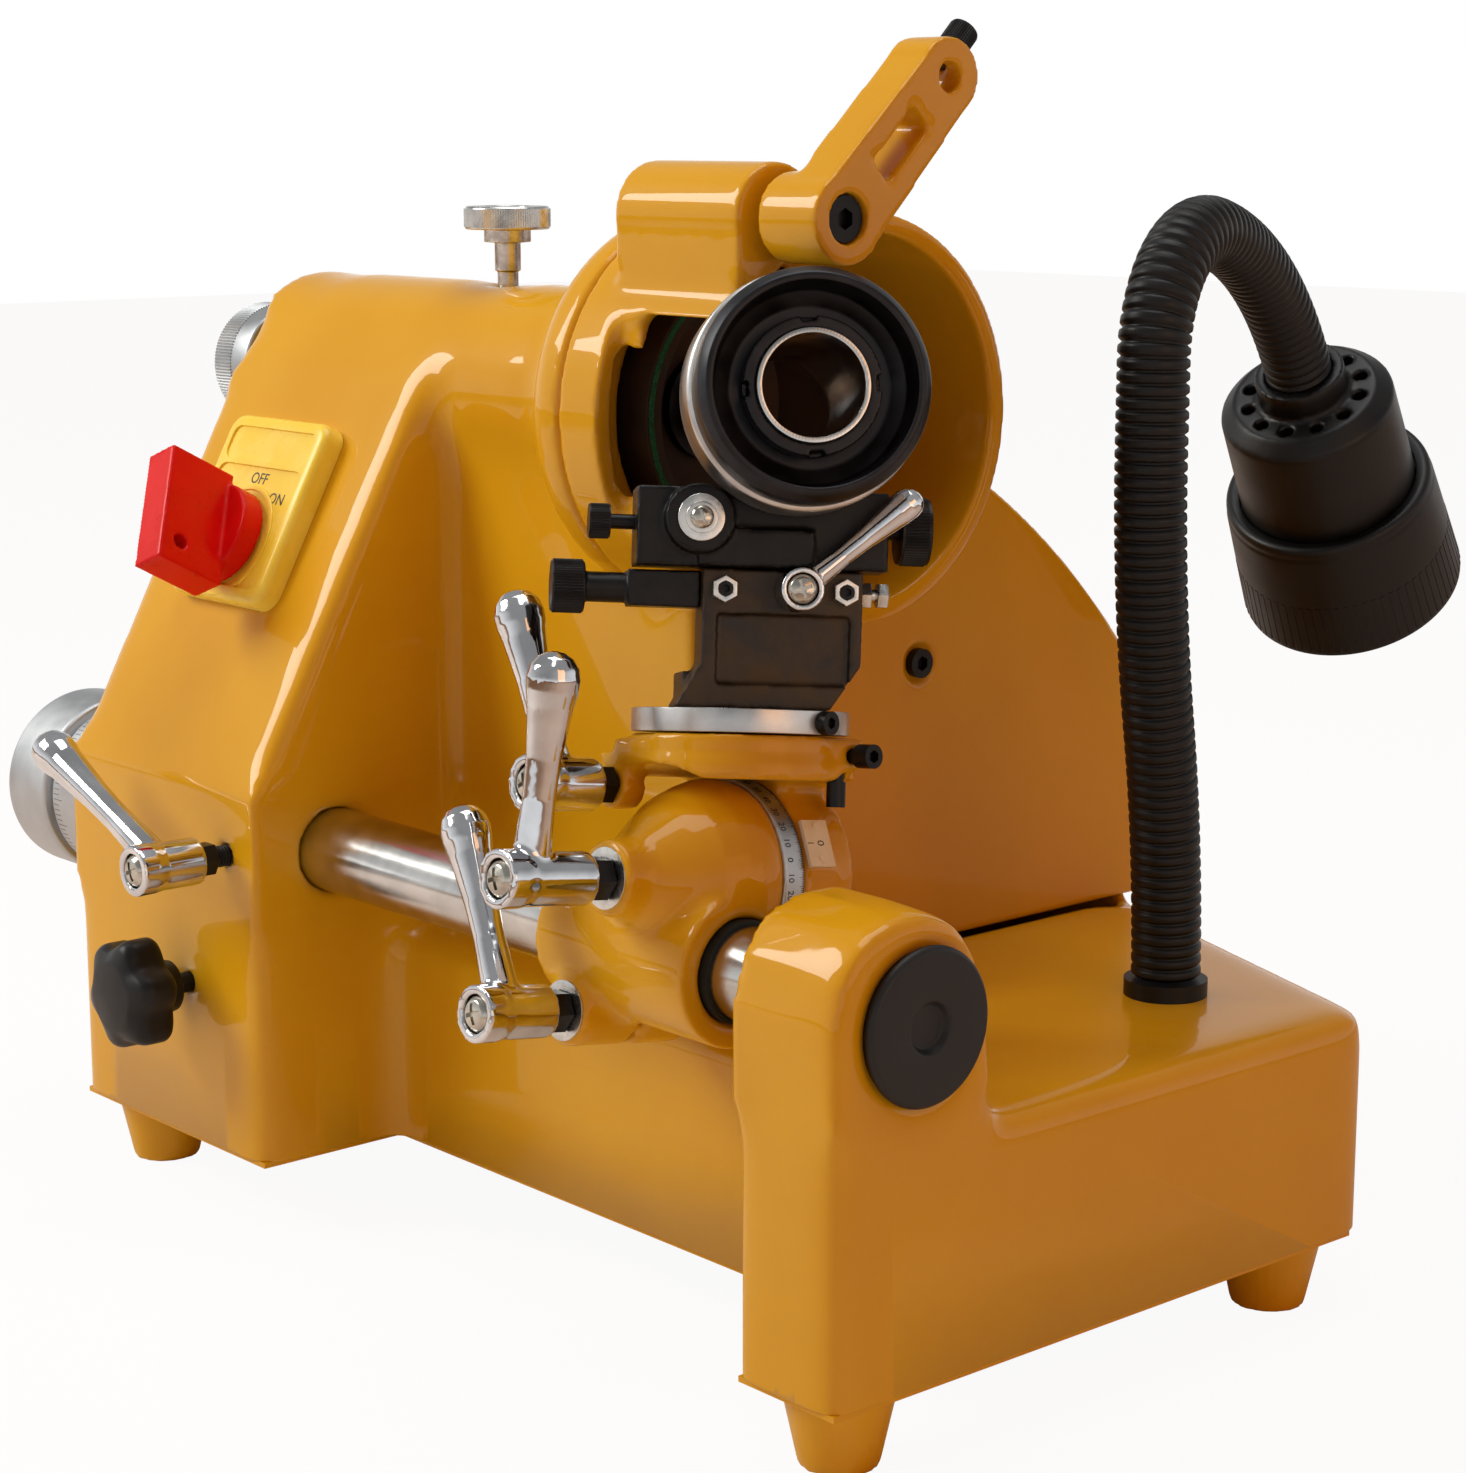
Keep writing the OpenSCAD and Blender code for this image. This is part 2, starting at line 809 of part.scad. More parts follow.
// graduated dial: a disc with a deep rim over its upper part, grown by e on its free sides
module dial_blank(e) {
    difference() {
        ycyl(band_y - e, tilt_y, dial_r + 2 * e, 64);
        translate([-50, band_y - 2, -50])
            cube([100, dial_y - band_y + 2 - e, 50 - rim_z - e]);
    }
}
module tilt_dial() {
    color([0.72, 0.73, 0.75])
    in_carriage()
        translate([tilt_x, 0, tilt_h])
            difference() {
                dial_blank(0);
                ycyl(band_y - 1, dial_y, dial_r - band_t, 64);
                ycyl(dial_y - 1, tilt_y + 1, 8 + gap, 32);
            }
}
module carriage_lever() {
    color([0.8, 0.81, 0.83])
    in_carriage()
        translate([84, -34, -24])
            lever(lever_l, 30, 28);
}
module carriage_lever_stud() {
    color([0.1, 0.1, 0.11])
    in_carriage()
        translate([84, -34, -24])
            lever_stud(28, 7.5, 7.6, 54);
}

// ---- tilting head ----
module tilt_casting() {
    color([0.86, 0.62, 0.13])
    in_tilt()
        difference() {
            union() {
                ycyl(0.4, 22, dial_r + 0.5, 48);
                translate([-27, 0.4, 0])
                    cube([47, 21.6, flange_z + 2]);
                // flat for the index plate
                rotate([0, -plate_a, 0])
                    translate([25, 0.5, -9.5])
                        cube([dial_r - 24.5, 12, 19]);
                // flange under the turntable, reaching out over the dial
                difference() {
                    rotate_extrude($fn = 64)
                        polygon([[0, flange_z], [table_r + 1.9, flange_z],
                            [table_r + 1.6, flange_z + 5], [table_r + 0.6, flange_z + 9],
                            [table_r + 0.6, flange_z + flange_t - 0.6],
                            [table_r, flange_z + flange_t], [0, flange_z + flange_t]]);
                    ycyl(-60, 0.4, dial_r + 4, 64);
                }
                // lug of the stop screws
                translate([24, stop_y - 7, flange_z + 3.6])
                    cube([table_r - 22.5, 11, flange_t - 4]);
                ycyl(-15.6, 1, 8, 32);
                translate([ear_x, -38, flange_z + 4])
                    cube([16, 30, flange_t - 6]);
                translate([ear_x, 0, ear_h])
                    ycyl(-38, -28, 8, 24);
                translate([ear_x - 6, -38, ear_h])
                    cube([12, 10, flange_z + 8 - ear_h]);
            }
            ycyl(-16, 23, 4 + gap, 24);
            zcyl(flange_z - 8, table_h - 8, 6 + gap, 24);
            translate([ear_x, 0, ear_h])
                ycyl(-40, -20, 4 + gap, 24);
            translate([0, stop_y, stop_z])
                xcyl(table_r - 4, table_r + 3, 2.5 + gap, 16);
            translate([table_r - 4, stop_y - 3, flange_z])
                zcyl(-1, 8, 2.5 + gap, 16);
        }
}
module index_plate() {
    color([0.9, 0.9, 0.88])
    in_tilt()
        rotate([0, -plate_a, 0]) {
            translate([dial_r + 0.5, 0.7, -8])
                cube([1.4, 11, 16]);
            for (a = [-5.6, 5.6])
                translate([0, 6.2, a])
                    xcyl(dial_r + 1.7, dial_r + 2.7, 1.3, 16);
        }
}
module tilt_lever() {
    color([0.8, 0.81, 0.83])
    in_carriage()
        translate([tilt_x, -46, tilt_h])
            lever(lever_l, -1, 34);
}
module tilt_lever_stud() {
    color([0.1, 0.1, 0.11])
    in_carriage()
        translate([tilt_x, -46, tilt_h])
            lever_stud(34, 7.5, 8.6, 82);
}
module swivel_lever() {
    color([0.8, 0.81, 0.83])
    in_tilt()
        translate([ear_x, -46, ear_h])
            lever(lever_l - 4, 22, 26);
}
module swivel_lever_stud() {
    color([0.1, 0.1, 0.11])
    in_tilt()
        translate([ear_x, -46, ear_h])
            lever_stud(26, 6.8, 7.6, 17);
}
module stop_screws() {
    color([0.1, 0.1, 0.11])
    in_tilt() {
        translate([0, stop_y, stop_z])
            difference() {
                union() {
                    xcyl(table_r - 2, table_r + 5, 2.5, 16);
                    xcyl(table_r + 4, table_r + 10.5, 4, 24);
                }
                xcyl(table_r + 8, table_r + 12, 2.2, 6);
            }
        translate([table_r - 4, stop_y - 3, flange_z])
            union() {
                zcyl(-4, 7, 2.5, 16);
                zcyl(-8.5, -0.1, 3.2, 24);
            }
    }
}

// ---- swivelling work head ----
module turntable() {
    color([0.7, 0.71, 0.73])
    in_head()
        difference() {
            union() {
                zcyl(-8, 0, table_r, 64);
                zcyl(-20, -7, 6, 24);
            }
            at_rim()
                xcyl(-6, 1, 2 + gap, 16);
        }
}
// seat of the screw in the turntable's rim
module at_rim() {
    rotate([0, 0, swivel + 6])
        translate([table_r, 0, -4])
            children();
}
module rim_screw() {
    color([0.1, 0.1, 0.11])
    in_head()
        at_rim()
            difference() {
                union() {
                    xcyl(-5, 1, 2, 16);
                    xcyl(0.1, 3.6, 3.9, 24);
                }
                xcyl(2, 4, 2, 6);
            }
}
module head_bracket() {
    color([0.2, 0.17, 0.12])
    in_head()
        difference() {
            union() {
                translate([block_x - 2, head_y, 0])
                    rotate([90, 0, 90])
                        linear_extrude(20)
                            polygon([[-37.5, 0.1], [14, 0.1], [24, 15],
                                [24, block_z - 0.3], [-29, block_z - 0.3], [-29, 15]]);
                translate([-8, head_y - 34, 0.1])
                    cube([24, 44, 12]);
            }
            // sunk front panel
            translate([block_x + 15, head_y - 24, 8])
                cube([4, 44, 23]);
            at_clamp() {
                for (y = [-22, 18])
                    translate([0, y, 0])
                        xcyl(12.5, 20, 2.5 + gap, 16);
                translate([0, 1.5, 0])
                    xcyl(-5, 20, 3 + gap, 24);
                translate([8, 0, 0]) {
                    ycyl(-30, -17.5, 4 + gap, 16);
                    ycyl(14, 25, 2.5 + gap, 16);
                }
            }
        }
}
// clamp screw line across the top of the bracket
module at_clamp() {
    translate([block_x, head_y, clamp_z])
        children();
}
module bracket_bolts() {
    color([0.6, 0.6, 0.6])
    in_head()
        at_clamp() {
            for (y = [-22, 18])
                translate([0, y, 0]) {
                    xcyl(18, 22, 4.6, 6);
                    xcyl(12.8, 24, 2.5, 16);
                }
            translate([8, 0, 0]) {
                ycyl(24, 28, 4.6, 6);
                ycyl(15, 34, 2.5, 16);
            }
        }
}
module head_lever() {
    color([0.8, 0.81, 0.83])
    in_head()
        at_clamp()
            translate([18.4, 1.5, 0])
                difference() {
                    union() {
                        xcyl(0, 16, 7, 32);
                        translate([10, 0, 0])
                            rotate([-50, 0, 0])
                                lever_arm(45, 4.2, 3.3, 5.4);
                    }
                    xcyl(-1, 17, 3 + gap, 24);
                    xcyl(13, 17, 5.3, 24);
                }
}
module head_lever_screw() {
    color([0.75, 0.74, 0.68])
    in_head()
        at_clamp()
            translate([18.4, 1.5, 0])
                difference() {
                    union() {
                        xcyl(-17, 14, 3, 24);
                        xcyl(13.1, 17, 5, 24);
                    }
                    translate([15.6, -0.5, -3])
                        cube([2, 1, 6]);
                    translate([15.6, -3, -0.5])
                        cube([2, 6, 1]);
                }
}
module slide_block() {
    color([0.09, 0.09, 0.1])
    in_head()
        difference() {
            union() {
                translate([block_x, head_y - 51, block_z])
                    cube([19, 83, 26]);
                translate([block_x + 12, pivot_y, pivot_z])
                    xcyl(0, 13, 11.4, 32);
                translate([block_x + 12, pivot_y, block_z + 0.2])
                    cube([10.4, 38, pivot_z - block_z - 3]);
                translate([0, head_y, head_h])
                    xcyl(2, 25.4, 22, 48);
                translate([0, head_y, head_h])
                    xcyl(-10, 3, 20, 48);
                translate([block_x, head_y - 15, block_z + 23])
                    cube([17.4, 30, 20]);
            }
            translate([0, head_y, head_h])
                xcyl(-12, 30, work_r + gap, 48);
            translate([block_x, pivot_y, pivot_z])
                xcyl(14, 30, 3 + gap, 16);
            translate([block_x + 7, head_y, slot_z]) {
                ycyl(-60, -24, 2.5 + gap, 16);
                ycyl(6, 44, 3 + gap, 16);
            }
        }
}
module pivot_screw() {
    color([0.78, 0.78, 0.78])
    in_head()
        translate([block_x + 25, pivot_y, pivot_z])
            difference() {
                union() {
                    xcyl(0, 1.8, 7.7, 32);
                    xcyl(1.7, 5, 3.8, 24);
                    xcyl(-10, 1, 3, 16);
                }
                translate([4, -0.5, -2.4])
                    cube([2, 1, 4.8]);
                translate([4, -2.4, -0.5])
                    cube([2, 4.8, 1]);
            }
}
module lock_knob() {
    color([0.1, 0.1, 0.11])
    in_head()
        translate([block_x + 7, head_y - 51, slot_z]) {
            ycyl(-9, 20, 2.5, 24);
            ycyl(-15, -8, 5.5, 24);
        }
}
module feed_knob() {
    color([0.1, 0.1, 0.11])
    in_head()
        translate([block_x + 7, head_y + 32, slot_z]) {
            ycyl(-14, 6, 3, 24);
            ycyl(5, 15, 11, 32);
        }
}
module index_plunger() {
    color([0.1, 0.1, 0.11])
    in_head()
        at_clamp()
            translate([8, 0, 0]) {
                ycyl(-30, -20, 4, 16);
                translate([-6, -53, -6])
                    cube([12, 23.8, 12]);
                ycyl(-68, -52, 5, 24);
                ycyl(-78, -67, 8.5, 24);
            }
}

// ---- work spindle ----
module index_ring() {
    color([0.12, 0.12, 0.13])
    at_work()
        difference() {
            xturn(64)
                polygon([[work_r, 28.5], [ring_r - 2, 28.5], [ring_r, 30.5], [ring_r, 50],
                    [ring_r - 1.6, 50.6], [ring_r - 1.6, 65], [ring_r - 4, 69],
                    [ring_r - 6, 69], [ring_r - 7.5, 57], [26, 54], [work_r, 54]]);
            xcyl(20, 75, work_r, 48);
        }
}
module ring_nut() {
    color([0.15, 0.15, 0.16])
    at_work()
        difference() {
            xcyl(54, 62, 22.4, 48);
            xcyl(53, 63, work_r, 48);
            for (a = [0 : 90 : 270])
                rotate([a + 5, 0, 0])
                    translate([57, -2.5, 20.6])
                        cube([6, 5, 4]);
        }
}
module collet_sleeve() {
    color([0.75, 0.75, 0.76])
    at_work()
        difference() {
            union() {
                xcyl(-12.3, 64, work_r, 48);
                xcyl(-14, -12, 17, 48);
            }
            xcyl(-6, 65, bore_r, 48);
            xcyl(-15, -5, 9.2, 32);
        }
}

// ---- lamp ----
module in_lamp() {
    translate([lamp_x, lamp_y, base_top])
        rotate([0, 0, neck_turn])
            children();
}
module at_lamp_head() {
    in_lamp()
        translate([neck_s[5], 0, neck_h[5]])
            rotate([0, neck_a[5], 0])
                children();
}
module lamp_gland() {
    color([0.1, 0.1, 0.1])
    in_lamp() {
        zcyl(0, 6, 15, 32);
        zcyl(-14, 1, 8, 24);
        zcyl(-16, -8.5, 14, 6);
    }
}
// one bend of the neck: from its point i, radius r, turning by a (positive = forward),
// run on by e degrees at both ends
module neck_bend(i, r, a, tube, e) {
    side = a > 0 ? 1 : -1;
    translate([neck_s[i], 0, neck_h[i]])
        rotate([0, neck_a[i], 0])
            translate([side * r, 0, 0])
                rotate([90, 0, 0])
                    rotate([0, 0, side > 0 ? 180 - a - e : -e])
                        rotate_extrude(angle = abs(a) + 2 * e, $fn = 160)
                            translate([r, 0])
                                circle(r = tube, $fn = 24);
}
module lamp_neck() {
    color([0.09, 0.09, 0.09])
    in_lamp()
        difference() {
            union() {
                neck_bend(0, 405, -14.3, neck_r, 0);
                neck_bend(1, 405, 14.3, neck_r - 0.3, 0.15);
                translate([neck_s[2], 0, 0])
                    zcyl(neck_h[2], neck_h[3], neck_r, 24);
                neck_bend(3, 42, 100, neck_r - 0.3, 1.5);
                neck_bend(4, 142, 42.2, neck_r, 0);
                translate([neck_s[5], 0, neck_h[5]])
                    rotate([0, neck_a[5], 0])
                        zcyl(-1, 17, neck_r - 0.3, 24);
            }
            translate([-30, -30, -30])
                cube([60, 60, 36]);
        }
}
module lamp_head() {
    color([0.12, 0.12, 0.14])
    at_lamp_head()
        difference() {
            union() {
                zcyl(1, 14, 17, 32);
                rotate_extrude($fn = 48)
                    polygon([[0, 12], [27, 12], [33, 17.5], [34, 64], [0, 64]]);
            }
            zcyl(0, 17, neck_r + gap, 24);
            rotate_extrude($fn = 48)
                polygon([[0, 18], [24, 18], [30.5, 22], [31.5, 65], [0, 65]]);
            for (a = [0 : 30 : 330])
                rotate([0, 0, a])
                    translate([21.7, 0, 10])
                        zcyl(0, 12, 2.6, 16);
        }
}
module lamp_shade() {
    color([0.1, 0.1, 0.1])
    at_lamp_head()
        difference() {
            rotate_extrude($fn = 64)
                polygon([[34.1, 58], [38, 58], [40, 60], [shade_r, 108], [shade_r, 112],
                    [shade_r - 2.5, 112], [shade_r - 2.5, 108], [37.5, 62], [34.1, 62]]);
        }
}
module lamp_bulb() {
    color([0.95, 0.95, 0.9])
    at_lamp_head()
        rotate_extrude($fn = 32)
            polygon([[0, 18], [14, 18], [14, 48], [11, 52], [18, 64], [22, 74], [21, 80],
                [15, 85], [7, 87.5], [0, 88]]);
}

main_casting();
bottom_plate();
feet();
rear_cover();
frame_screws();
post_cap();
switch_box();
switch_knob();
wheel_guard();
motor();
motor_pulley();
drive_belt();
lamp_gland();
lamp_neck();
lamp_head();
lamp_shade();
lamp_bulb();
dresser_screw();
dresser_arm();
dresser_set_screw();
thumb_screw();
spindle_sleeve();
sleeve_knob();
spindle_bearings();
spindle_shaft();
spindle_pulley();
grinding_wheel();
wheel_nut();
guide_bar();
feed_dial();
feed_drum();
bar_lock_lever();
bar_lock_stud();
star_knob();
carriage();
rod_seals();
tilt_dial();
carriage_lever();
carriage_lever_stud();
tilt_casting();
index_plate();
tilt_lever();
tilt_lever_stud();
swivel_lever();
swivel_lever_stud();
stop_screws();
turntable();
rim_screw();
head_bracket();
bracket_bolts();
head_lever();
head_lever_screw();
slide_block();
pivot_screw();
lock_knob();
feed_knob();
index_plunger();
index_ring();
ring_nut();
collet_sleeve();
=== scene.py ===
# %% [markdown]
# # A bench tool and cutter grinder
# The machine is a set of castings under thick gloss enamel, with a cup wheel in a guard, a
# work head that slides, leans, tilts and swivels on a ground bar, chromed clamp levers and a
# lamp on a ribbed neck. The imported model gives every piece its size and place. Each cell
# here takes one group of pieces and gives it the edges, ribs, knurls, marks and finish that
# plain solids lack. Everything is in metres.

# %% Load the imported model
import bpy
import bmesh
import json
import math
from mathutils import Matrix, Vector
from mathutils.bvhtree import BVHTree
from mathutils.kdtree import KDTree


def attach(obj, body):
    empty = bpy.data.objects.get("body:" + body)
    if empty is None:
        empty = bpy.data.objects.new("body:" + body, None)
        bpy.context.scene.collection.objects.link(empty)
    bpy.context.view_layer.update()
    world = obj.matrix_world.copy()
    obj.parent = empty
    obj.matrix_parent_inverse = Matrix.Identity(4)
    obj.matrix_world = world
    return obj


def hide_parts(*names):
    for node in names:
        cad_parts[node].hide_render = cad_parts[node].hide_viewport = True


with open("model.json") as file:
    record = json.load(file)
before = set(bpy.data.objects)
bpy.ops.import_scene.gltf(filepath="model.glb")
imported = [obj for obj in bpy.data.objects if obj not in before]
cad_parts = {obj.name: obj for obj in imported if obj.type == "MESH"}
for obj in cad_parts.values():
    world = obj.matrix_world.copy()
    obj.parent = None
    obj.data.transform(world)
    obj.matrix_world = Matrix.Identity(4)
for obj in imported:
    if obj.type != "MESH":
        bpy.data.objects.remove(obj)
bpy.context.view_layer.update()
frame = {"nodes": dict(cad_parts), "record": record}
body_of = {n: b for b, ns in frame["record"]["behaviour"]["bodies"].items() for n in ns}

# %% [markdown]
# The camera comes first, as every later choice is judged through it. It stands in front of
# the bar post, a little above the bar, and looks back at the wheel head with a short
# telephoto lens, so that the base runs away to the left with mild perspective.

# %% Camera
scene = bpy.context.scene
camera = bpy.data.objects.new("camera", bpy.data.cameras.new("camera"))
scene.collection.objects.link(camera)
scene.camera = camera
camera.data.lens = 76.3
camera.data.sensor_width = 36.0
camera.data.clip_start = 0.05
camera.location = (0.875, -0.7724, 0.4116)
looks_along = Vector((-0.7387, 0.6465, -0.1907))
camera.rotation_euler = looks_along.to_track_quat("-Z", "Y").to_euler()
print("camera", tuple(camera.location), "lens", camera.data.lens)

# %% [markdown]
# Four nested places carry the work head: the carriage leans back round the bar, the tilting
# casting leans sideways on the carriage, the turntable swivels on that, and the work spindle
# sits up in the turntable's frame. Each is one matrix, so a piece can be made in plain
# numbers round its own Z axis and set down in its own frame.

# %% Places
def turned(axis, degrees):
    return Matrix.Rotation(math.radians(degrees), 4, axis)


def moved(x, y, z):
    return Matrix.Translation((x, y, z))


full_turn = 2 * math.pi
along_x = turned("Y", 90)
along_front = turned("X", 90)
carriage_place = moved(0, -0.126, 0.144) @ turned("X", -8.8)
tilt_place = carriage_place @ moved(0.111, 0.02, 0.0255) @ turned("Y", -7.7)
head_place = tilt_place @ moved(0, 0, 0.056) @ turned("Z", -34.2)
work_place = head_place @ moved(0, 0.012, 0.102) @ along_x
spindle_place = moved(0, -0.037, 0.314) @ along_x
bar_place = moved(0, -0.126, 0.144) @ along_x
slope_place = moved(-0.159, -0.163, 0.168) @ turned("X", 61.7) @ moved(0, 0.109, 0)
lamp_place = moved(0.1615, 0.0585, 0.107) @ turned("Z", 108)
arm_place = moved(0.107, -0.075, 0.3835) @ turned("X", -45)
print("work spindle at", tuple(round(v, 4) for v in work_place.translation))

# %% [markdown]
# Colours are written as sRGB hex, as on a paint chart, and one function turns them into the
# linear values that a shader works in. One more function adds a node with its settings and
# its links, for shader trees and geometry trees alike.

# %% Colour and node helpers
def colour(code):
    parts = [int(code[i:i + 2], 16) / 255 for i in (1, 3, 5)]
    return [p / 12.92 if p <= 0.04045 else ((p + 0.055) / 1.055) ** 2.4 for p in parts] + [1]


def add(tree, kind, links=None, **settings):
    node = tree.nodes.new(kind)
    for key, value in settings.items():
        setattr(node, key, value)
    for key, value in (links or {}).items():
        if isinstance(value, bpy.types.NodeSocket):
            tree.links.new(value, node.inputs[key])
        else:
            node.inputs[key].default_value = value
    return node


def new_material(name, **values):
    """Values are the shader's sockets by name, with an underscore for each space."""
    made = bpy.data.materials.new(name)
    made.use_nodes = True
    shader = made.node_tree.nodes["Principled BSDF"]
    for key, value in values.items():
        shader.inputs[key.replace("_", " ")].default_value = value
    place = add(made.node_tree, "ShaderNodeTexCoord").outputs["Object"]
    return made, made.node_tree, shader, place


def two_tone(tree, shader, place, dark, light, scale, detail=4.0, low=0.35, high=0.65):
    """A noise between two colours, in patches of about 1/scale metres."""
    noise = add(tree, "ShaderNodeTexNoise", {"Vector": place, "Scale": scale, "Detail": detail})
    ramp = add(tree, "ShaderNodeValToRGB", {"Fac": noise.outputs["Fac"]})
    ramp.color_ramp.elements[0].position = low
    ramp.color_ramp.elements[0].color = colour(dark)
    ramp.color_ramp.elements[1].position = high
    ramp.color_ramp.elements[1].color = colour(light)
    tree.links.new(ramp.outputs["Color"], shader.inputs["Base Color"])
    return noise


def rough_between(tree, shader, noise, low, high):
    span = add(tree, "ShaderNodeMapRange", {"Value": noise.outputs["Fac"], "From Min": 0.3,
        "From Max": 0.7, "To Min": low, "To Max": high})
    tree.links.new(span.outputs["Result"], shader.inputs["Roughness"])


def grain(tree, shader, place, layers):
    """Stacked bumps: each layer is (scale per metre, height in metres, strength)."""
    below = None
    for scale, height, strength in layers:
        noise = add(tree, "ShaderNodeTexNoise", {"Vector": place, "Scale": scale, "Detail": 2.0})
        links = {"Height": noise.outputs["Fac"], "Distance": height, "Strength": strength}
        if below:
            links["Normal"] = below
        below = add(tree, "ShaderNodeBump", links).outputs["Normal"]
    tree.links.new(below, shader.inputs["Normal"])


def toned(name, tones, rough, layers=(), **values):
    """A whole finish: what two_tone takes, the range of roughness, and what grain takes."""
    low, high = rough
    made, tree, shader, place = new_material(name, Roughness=(low + high) / 2, **values)
    noise = two_tone(tree, shader, place, *tones)
    if high > low:
        rough_between(tree, shader, noise, low, high)
    if layers:
        grain(tree, shader, place, layers)
    return made


# %% [markdown]
# Thick gloss enamel, sprayed on rough iron castings and left to level by itself. The eye
# reads it by its clear, slightly wavy highlights: a thin glossy coat over a softer base, an
# orange peel of about 2 mm, and a slow waviness of the casting below. The colour shifts a
# little where the coat lies thicker. On the small castings the iron was filled less, so
# the same paint shows more of its lumps there.

# %% Enamel on castings
def enamel_paint(name, waviness, peel):
    return toned(name, ("#D8A312", "#DCA918", 14.0), (0.3, 0.4),
        [(30.0, 0.0009, waviness), (420.0, 0.00012, peel)], IOR=1.5, Specular_IOR_Level=0.08,
        Coat_Weight=0.6, Coat_Roughness=0.03, Coat_IOR=1.45)


enamel = enamel_paint("ochre_gloss_enamel", 0.1, 0.1)
lumpy_enamel = enamel_paint("ochre_enamel_on_rough_iron", 0.35, 0.3)

# %% [markdown]
# Chrome plate on the levers is polished die-cast zinc under bright nickel and chrome: a
# near mirror with a trace of haze from handling. Ground steel keeps fine grinding rings, so
# its highlight spreads. Zinc plate on nuts is paler and cloudier. All three are metals, so
# their colour sits in the reflection.

# %% Bright metals
chrome = toned("chrome_plate", ("#C2C3C6", "#D8D9DC", 60.0), (0.05, 0.12),
    [(90.0, 0.0003, 0.1)], Metallic=1.0)
rings_along_x, rings_along_z = (0, 0, 0), (0, 1.5708, 0)


def ground_metal(name, dark, light, rough, axis_turn, rings, height=0.00003):
    """Ground or turned metal: fine rings square to the piece's own axis."""
    made, tree, shader, place = new_material(name, Metallic=1.0, Roughness=rough)
    across = add(tree, "ShaderNodeMapping", {"Vector": place, "Rotation": axis_turn})
    tone = two_tone(tree, shader, across.outputs["Vector"], dark, light, 45.0)
    rough_between(tree, shader, tone, rough * 0.8, rough * 1.3)
    wave = add(tree, "ShaderNodeTexWave", {"Vector": across.outputs["Vector"], "Scale": rings,
        "Distortion": 1.5, "Detail": 2.0, "Detail Scale": 2.0})
    bump = add(tree, "ShaderNodeBump", {"Height": wave.outputs["Fac"], "Distance": height,
        "Strength": 0.25})
    tree.links.new(bump.outputs["Normal"], shader.inputs["Normal"])
    return made


# grinding rings lie 0.6 mm apart here, coarser than the real ones, so that they show
bar_steel = ground_metal("ground_bar_steel", "#A3A2A0", "#C9C8C6", 0.16, rings_along_x, 520.0)
dial_metal = ground_metal("satin_aluminium", "#A9ACAF", "#BCBFC2", 0.42, rings_along_x, 600.0)
ring_steel = ground_metal("ground_ring_steel", "#A8A8A9", "#D0CFCD", 0.3, rings_along_z, 500.0,
    0.00004)
zinc_plate = toned("zinc_plate", ("#B9BAB8", "#D8D8D5", 220.0), (0.18, 0.34),
    [(900.0, 0.00004, 0.2)], Metallic=1.0)
nickel_plate = toned("nickel_plated_screw", ("#A5A198", "#C9C5BA", 200.0), (0.14, 0.28),
    Metallic=1.0)
brass = toned("brass_rivet", ("#9A6A1E", "#C08E36", 300.0), (0.25, 0.4), Metallic=1.0)

# %% [markdown]
# Black oxide is a thin blackened skin on steel. It is dark but still a metal, with a soft
# sheen and a faint brown or grey bloom where hands and tools rub it. The bracket is bare
# cast iron, oiled and browned, with a sandy grain from its mould.

# %% Dark metals
black_oxide = toned("black_oxide_steel", ("#111112", "#1F1F21", 120.0), (0.3, 0.48),
    [(1500.0, 0.00005, 0.25)], Metallic=0.6)
black_face = toned("blackened_turned_steel", ("#17181C", "#26272D", 90.0), (0.28, 0.44),
    [(700.0, 0.00005, 0.25)], Metallic=0.6)
bracket_iron = toned("oiled_cast_iron", ("#1C120A", "#4A3B26", 60.0, 9.0, 0.38, 0.7), (0.35, 0.6),
    [(260.0, 0.0003, 0.3), (1400.0, 0.00012, 0.35)], Metallic=0.2)
motor_iron = toned("painted_motor_iron", ("#3A3E45", "#454A52", 40.0), (0.5, 0.5),
    [(500.0, 0.0001, 0.2)])
pulley_iron = toned("turned_pulley_iron", ("#57585A", "#6E6F71", 90.0), (0.35, 0.35),
    Metallic=0.9)

# %% [markdown]
# The plastics and rubbers differ mostly in gloss. The star knob and the end cap are moulded
# with a fine spark-eroded grain, the lamp is a smoother black, the switch plate and knob are
# glossy, and the rod seals are soft rubber with almost no sheen. Black plastic seldom
# reflects more than a twenty-fifth of the light, so its base is nearly black.

# %% Plastics, rubber, grit and glass
def moulded(name, dark, light, low, high, grain_scale, grain_height, shine=0.4):
    return toned(name, (dark, light, 60.0), (low, high), [(grain_scale, grain_height, 0.25)],
        IOR=1.5, Specular_IOR_Level=shine)


grained_black = moulded("grained_black_nylon", "#0B0B0C", "#141415", 0.42, 0.55, 1300.0, 0.00009)
lamp_black = moulded("smooth_black_abs", "#08080A", "#0F0F11", 0.36, 0.48, 900.0, 0.00005, 0.3)
hose_black = moulded("ribbed_hose_pvc", "#070708", "#0E0E0F", 0.4, 0.52, 700.0, 0.00004, 0.3)
seal_rubber = moulded("seal_rubber", "#0E100E", "#1B1F1B", 0.55, 0.7, 800.0, 0.0001)
switch_yellow = moulded("gloss_yellow_abs", "#F5DC44", "#F8E25C", 0.22, 0.32, 500.0, 0.00003)
switch_red = moulded("gloss_red_abs", "#D60603", "#E00A06", 0.24, 0.34, 420.0, 0.00003, 0.2)
print_black = moulded("printed_black_ink", "#1A1A1A", "#242424", 0.5, 0.6, 900.0, 0.00002)
scale_white = moulded("etched_white_aluminium", "#E6E6E2", "#F2F2EE", 0.35, 0.45, 900.0, 0.00003)
# painted shade: the wheel is green grit all through, but its body is painted dark brown for the
# deep shadow inside the guard, and only the rim keeps the grit's green
wheel_body_painted_shade = moulded("wheel_body_in_painted_shade", "#23140B", "#3A2414", 0.6, 0.75, 900.0, 0.0002)
